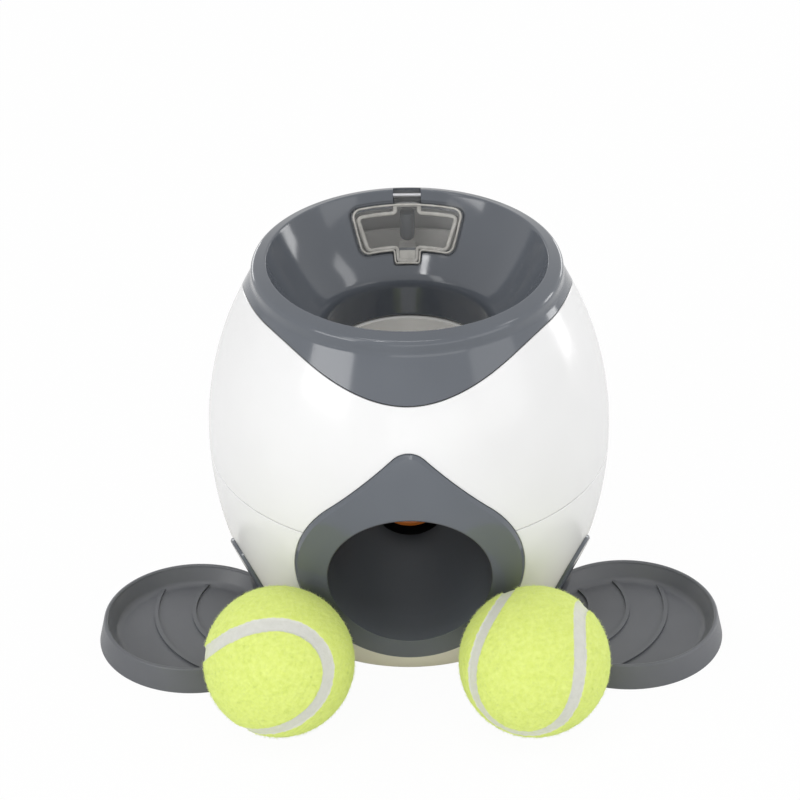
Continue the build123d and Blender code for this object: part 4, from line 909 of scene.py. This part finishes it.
def lid_neck():
    """Neck and knuckle of the hinge: the hull of two circles, with softened ends."""
    stations = [(-KNUCKLE_HALF, -0.35), (-KNUCKLE_HALF + 0.1, -0.1), (-KNUCKLE_HALF + 0.35, 0)]
    stations += [(-x, grow) for x, grow in stations[::-1]]
    loops = []
    for x, grow in stations:
        profile = neck_profile(grow)
        loops.append(np.concatenate([np.full((len(profile), 1), x), profile], axis=1))
    return crisp(woven("lid_neck", np.stack(loops), capped=True), 50.0)


def hull(points):
    """Convex outline of flat points: the furthest point along each of 720 directions."""
    far = np.argmax(points @ compass(720).T, axis=0)
    return points[far[far != np.roll(far, 1)]]


def neck_profile(grow):
    """Hull of the hinge knuckle and the lid's upper edge in y and z."""
    seat = on_bowl(np.array([0.0, lid_height(LID_HIGH - 2)]), (LID_THICK - LID_PROUD) / 2)[1:]
    ring = compass(64)
    knuckle = (HINGE_Y, HINGE_Z) + (KNUCKLE_R + grow) * ring
    return hull(np.concatenate([knuckle, seat + (LID_THICK / 2 + grow) * ring]))


def notch_profile():
    """Notch of the hinge: its knuckle and neck with their gap, open upwards."""
    rear = HINGE_Y + KNUCKLE_R + LID_GAP
    top = [(rear, HINGE_Z), (rear, CREST_Z + 5), (HINGE_Y - 9, CREST_Z + 5)]
    return hull(np.concatenate([neck_profile(LID_GAP), top]))


# ---- Balls ----
SEAM_WIDE, SEAM_NARROW = 0.75, 0.25
SEAM_HALF, SEAM_SLOPE = 2.7, 0.7
RUBBER_DEEP, FELT_THICK, FELT_LUMP = 0.75, 0.55, 0.06
# Fibres: their number and seeds, millimetres clear of the seam and into the felt, lowest height
FIBRES, FIBRE_SEEDS = 12000, {"left": 11, "right": 12}
FIBRE_CLEAR, FIBRE_ROOT, FIBRE_LOWEST = 3.5, 0.45, -0.93
BALL_TURNS = {"left": (0.8494, 0.1443, 0.4841, 0.1526), "right": (0.2029, 0.855, -0.4769, 0.0167)}


def seam_curve(turn):
    """The closed seam of a felt ball on the unit sphere: x = a cos t + b cos 3t,
    y = a sin t - b sin 3t, z = 2 sqrt(ab) sin 2t, with a + b = 1."""
    t = np.linspace(0, 2 * np.pi, 720, endpoint=False)
    a, b = SEAM_WIDE, SEAM_NARROW
    curve = np.stack([
        a * np.cos(t) + b * np.cos(3 * t), a * np.sin(t) - b * np.sin(3 * t),
        2 * np.sqrt(a * b) * np.sin(2 * t),
    ], axis=1)
    return curve @ np.array(Quaternion(turn).to_matrix()).T


def seam_distance(ways, curve):
    """Millimetres over the ball from unit vectors to the seam's middle."""
    near = np.concatenate([(part @ curve.T).max(axis=1) for part in np.array_split(ways, 40)])
    return np.arccos(np.clip(near, -1, 1)) * BALL_R


def sphere_ways(count):
    """Unit vectors on the six sides of a cube blown up to a sphere, as six square grids."""
    side = np.tan(np.linspace(-np.pi / 4, np.pi / 4, count + 1))
    a, b = np.meshgrid(side, side, indexing="ij")
    grids = []
    for axis in range(3):
        for sign in (-1.0, 1.0):
            grids.append(unit(np.roll(np.stack([np.full(a.shape, sign), a, b], -1), axis, -1)))
    return np.stack(grids)


def felt_ball(name):
    """Ball skin: a sphere whose felt stands over the rubber of its seam, with soft lumps; each
    point keeps its distance from the seam's middle in the attribute seam."""
    ways = sphere_ways(104)
    flat = ways.reshape(-1, 3)
    far = seam_distance(flat, seam_curve(BALL_TURNS[name]))
    rise = np.clip((far - SEAM_HALF) / SEAM_SLOPE, 0, 1)
    rise = rise * rise * (3 - 2 * rise)
    waves = np.sin(flat @ np.array([[61, 13, -37], [-23, 71, 29], [41, -31, 67]]).T)
    lump = FELT_LUMP * waves.sum(axis=1) * rise
    radius = BALL_R - RUBBER_DEEP + FELT_THICK * rise + lump
    centre = np.array([*BALLS[name], BALL_R])
    points = (flat * radius[:, None] + centre).reshape(ways.shape)
    mesh = woven("ball_skin_" + name, points, around=False)
    placed = np.empty(len(mesh.vertices) * 3, np.float32)
    mesh.vertices.foreach_get("co", placed)
    placed = placed.reshape(-1, 3) * 1000.0 - centre
    layer = mesh.attributes.new("seam", "FLOAT", "POINT")
    seam = seam_distance(unit(placed), seam_curve(BALL_TURNS[name]))
    layer.data.foreach_set("value", seam.astype(np.float32))
    return mesh


def felt_fibres(name):
    """Loose fibres that lean over the felt: each a bent three-sided taper, closed at both ends."""
    rng = np.random.default_rng(FIBRE_SEEDS[name])
    ways = unit(rng.normal(size=(FIBRES, 3)))
    ways = ways[seam_distance(ways, seam_curve(BALL_TURNS[name])) > FIBRE_CLEAR]
    ways = ways[ways[:, 2] > FIBRE_LOWEST]
    count = len(ways)
    swirl = unit(np.cross(ways, rng.normal(size=(count, 3))))
    length = rng.uniform(0.9, 2.3, count)[:, None]
    lift = rng.uniform(0.15, 1.1, count)[:, None]
    along = unit(swirl + ways * lift)
    sag = np.cross(ways, swirl) * rng.uniform(-0.5, 0.5, count)[:, None]
    root = ways * (BALL_R - FIBRE_ROOT)
    middle, tip = root + along * length * 0.5, root + unit(along + sag) * length
    spine = np.stack([root, root, middle, tip], axis=1)
    thick = np.array([0.0, 0.055, 0.045, 0.0])[None, :, None, None]
    first = unit(np.cross(along, ways))[:, None, None]
    second = np.cross(along, first[:, 0, 0])[:, None, None]
    turn = np.array([0, 2, 4])[None, None, :, None] * np.pi / 3
    ring = np.cos(turn) * first + np.sin(turn) * second
    points = spine[:, :, None] + thick * ring + np.array([*BALLS[name], BALL_R])
    return woven("ball_fibres_" + name, points)


# ---- Pieces ----
# Each finish with the model's own nodes that wear it
FINISHES = (
    (dark, "base_plate tray_left tray_right"),
    (metal, "base_screws lid_hinge_pin trigger_pin rotor_shaft"),
    (pad_black, "base_pads"),
    (inner_white, "rotor_pinion hopper_bin treat_spout_left treat_spout_right ball_chute"),
    (orange, "treat_drum_left treat_drum_right trigger"),
    (slate_frame_scoop_shade, "front_frame"),
    (slate, "side_frame_left side_frame_right top_collar"),
    (clear, "hopper_lid"),
    (white, "lower_shell upper_shell"),
    (ball_felt, "tennis_ball_left tennis_ball_right"),
)
for material, nodes in FINISHES:
    for node in nodes.split():
        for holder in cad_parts[node].material_slots:
            holder.link, holder.material = "OBJECT", material

piece("upper_shell_white", upper_shell(), "housing", white, ["upper_shell"])
piece("lower_shell_white", lower_shell(), "housing", white, ["lower_shell"])
piece("top_collar_slate", top_collar(), "housing", slate, ["top_collar"])
piece("top_collar_post", screw_post(), "housing", slate)
piece("lid_plate_clear", lid_plate(), "lid", clear, ["hopper_lid"])
piece("lid_neck_clear", lid_neck(), "lid", clear)
# The lid's inner wall, tab core and bead wear a pale painted highlight for the light in the clear
# walls
piece("lid_inner_wall", lid_inner_wall(), "lid", clear_edge_highlight)
piece("lid_tab_core", lid_tab_core(), "lid", clear_edge_highlight)
piece("lid_outer_bead", lid_outer_bead(), "lid", clear_edge_highlight)
for name in BALLS:
    piece("ball_felt_" + name, felt_ball(name), "ball_" + name, ball_felt,
          ["tennis_ball_" + name])
    piece("ball_fibres_" + name, felt_fibres(name), "ball_" + name, tufts)


# ---- Camera, floor and light ----
CAMERA_PLACE, CAMERA_LENS, CAMERA_SENSOR = (0.00731, -1.32833, 0.93553), 159.6, 36.0
CAMERA_TURNS = (32.204, -0.481, -0.793)  # pitch, yaw and roll in degrees
FLOOR_HALF, FLOOR_Z = 4000.0, -0.05
FLOOR_GLOW, WORLD_LIGHT = 0.96, 0.67
# Each lamp: azimuth, elevation and distance of its place, height of its aim, size and power
LAMPS = {
    "window": ((-51, 15, 1.6), 0.12, (0.8, 0.4), 4.8),
    "key_left": ((-42, 38, 1.8), 0.12, (0.4, 0.8), 2.0),
    "front_low": ((14, 4, 1.6), 0.05, (1.5, 0.5), 2.4),
    "fill_right": ((58, 12, 1.8), 0.06, (1.0, 0.9), 3.2),
    "top": ((-12, 74, 1.8), 0.14, (1.1, 0.22), 3.4),
    "side_right": ((86, 42, 1.7), 0.12, (0.3, 0.4), 1.2),
    "rear_right": ((113, 4, 1.3), 0.14, (0.25, 0.4), 1.6),
    "bowl_left": ((-147, 3, 1.4), 0.14, (0.6, 0.3), 1.8),
    "bowl_right": ((147, 3, 1.4), 0.14, (0.6, 0.3), 1.8),
    "spot_rear": ((-27, 57, 1.7), 0.14, (0.16, 0.16), 1.1),
}


def place_camera():
    """Camera by place, pitch, yaw and roll."""
    pitch, yaw, roll = np.radians(CAMERA_TURNS)
    ahead = np.array([np.sin(yaw) * np.cos(pitch), np.cos(yaw) * np.cos(pitch), -np.sin(pitch)])
    level = unit(np.cross(ahead, [0, 0, 1.0]))
    rise = np.cross(level, ahead)
    right = np.cos(roll) * level + np.sin(roll) * rise
    up = -np.sin(roll) * level + np.cos(roll) * rise
    camera = linked("camera", bpy.data.cameras.new("camera"))
    camera.data.lens, camera.data.sensor_width = CAMERA_LENS, CAMERA_SENSOR
    camera.data.clip_end = 50.0
    turn = Matrix(np.stack([right, up, -ahead], axis=1).tolist()).to_4x4()
    camera.matrix_world = Matrix.Translation(CAMERA_PLACE) @ turn
    bpy.context.scene.camera = camera


def mixed(tree, out, share, first, second):
    """Lead a mix of two shader sockets by a share to an output node."""
    mix = tree.nodes.new("ShaderNodeMixShader")
    for place, socket in enumerate((share, first, second)):
        tree.links.new(socket, mix.inputs[place])
    tree.links.new(mix.outputs[0], out.inputs[0])


def place_floor():
    """White floor that keeps a faint share of the shadows on it."""
    side = np.array([-FLOOR_HALF, FLOOR_HALF])
    x, y = np.meshgrid(side, side, indexing="ij")
    points = np.stack([x, y, np.full(x.shape, FLOOR_Z)], axis=-1)
    mesh = woven("floor", points, around=False)
    floor = linked("floor", mesh)
    paint = Paint("floor_white", Base_Color=(0.9, 0.9, 0.9, 1), Roughness=0.9)
    seen = paint.node("ShaderNodeLightPath", output="Is Camera Ray") * FLOOR_GLOW
    glow = paint.tree.nodes.new("ShaderNodeEmission")
    mixed(paint.tree, paint.out, seen.socket, paint.shader.outputs[0], glow.outputs[0])
    mesh.materials.append(paint.material)


def place_world():
    """White for what the camera, gloss and clear plastic see, and a softer level as light."""
    world = bpy.data.worlds.new("studio")
    bpy.context.scene.world = world
    world.use_nodes = True
    tree = world.node_tree
    tree.nodes.clear()
    out = tree.nodes.new("ShaderNodeOutputWorld")
    path = tree.nodes.new("ShaderNodeLightPath")
    seen, lit = (tree.nodes.new("ShaderNodeBackground") for _ in range(2))
    seen.inputs[0].default_value = lit.inputs[0].default_value = (1, 1, 1, 1)
    lit.inputs[1].default_value = WORLD_LIGHT
    share = path.outputs["Is Camera Ray"]
    for name in ("Is Glossy Ray", "Is Transmission Ray"):
        either = tree.nodes.new("ShaderNodeMath")
        either.operation = "MAXIMUM"
        tree.links.new(share, either.inputs[0])
        tree.links.new(path.outputs[name], either.inputs[1])
        share = either.outputs[0]
    mixed(tree, out, share, lit.outputs[0], seen.outputs[0])


def aimed(azimuth, elevation, distance):
    """A place at a distance from the body's upper part, by angle from the front and height."""
    azimuth, elevation = np.radians(azimuth), np.radians(elevation)
    level = distance * np.cos(elevation)
    return (level * np.sin(azimuth), -level * np.cos(azimuth), 0.12 + distance * np.sin(elevation))


def softbox(name, place, aim, size, power):
    """A white rectangular lamp at a place in metres, turned to a point."""
    lamp = bpy.data.lights.new(name, "AREA")
    lamp.shape = "RECTANGLE"
    lamp.size, lamp.size_y = size
    lamp.energy = power
    turn = (Vector(aim) - Vector(place)).to_track_quat("-Z", "Y").to_matrix().to_4x4()
    linked(name, lamp).matrix_world = Matrix.Translation(place) @ turn


bpy.context.scene.view_settings.view_transform = "Standard"
place_camera()
place_floor()
place_world()
for name, (place, aim_z, size, power) in LAMPS.items():
    softbox(name, aimed(*place), (0, 0, aim_z), size, power)
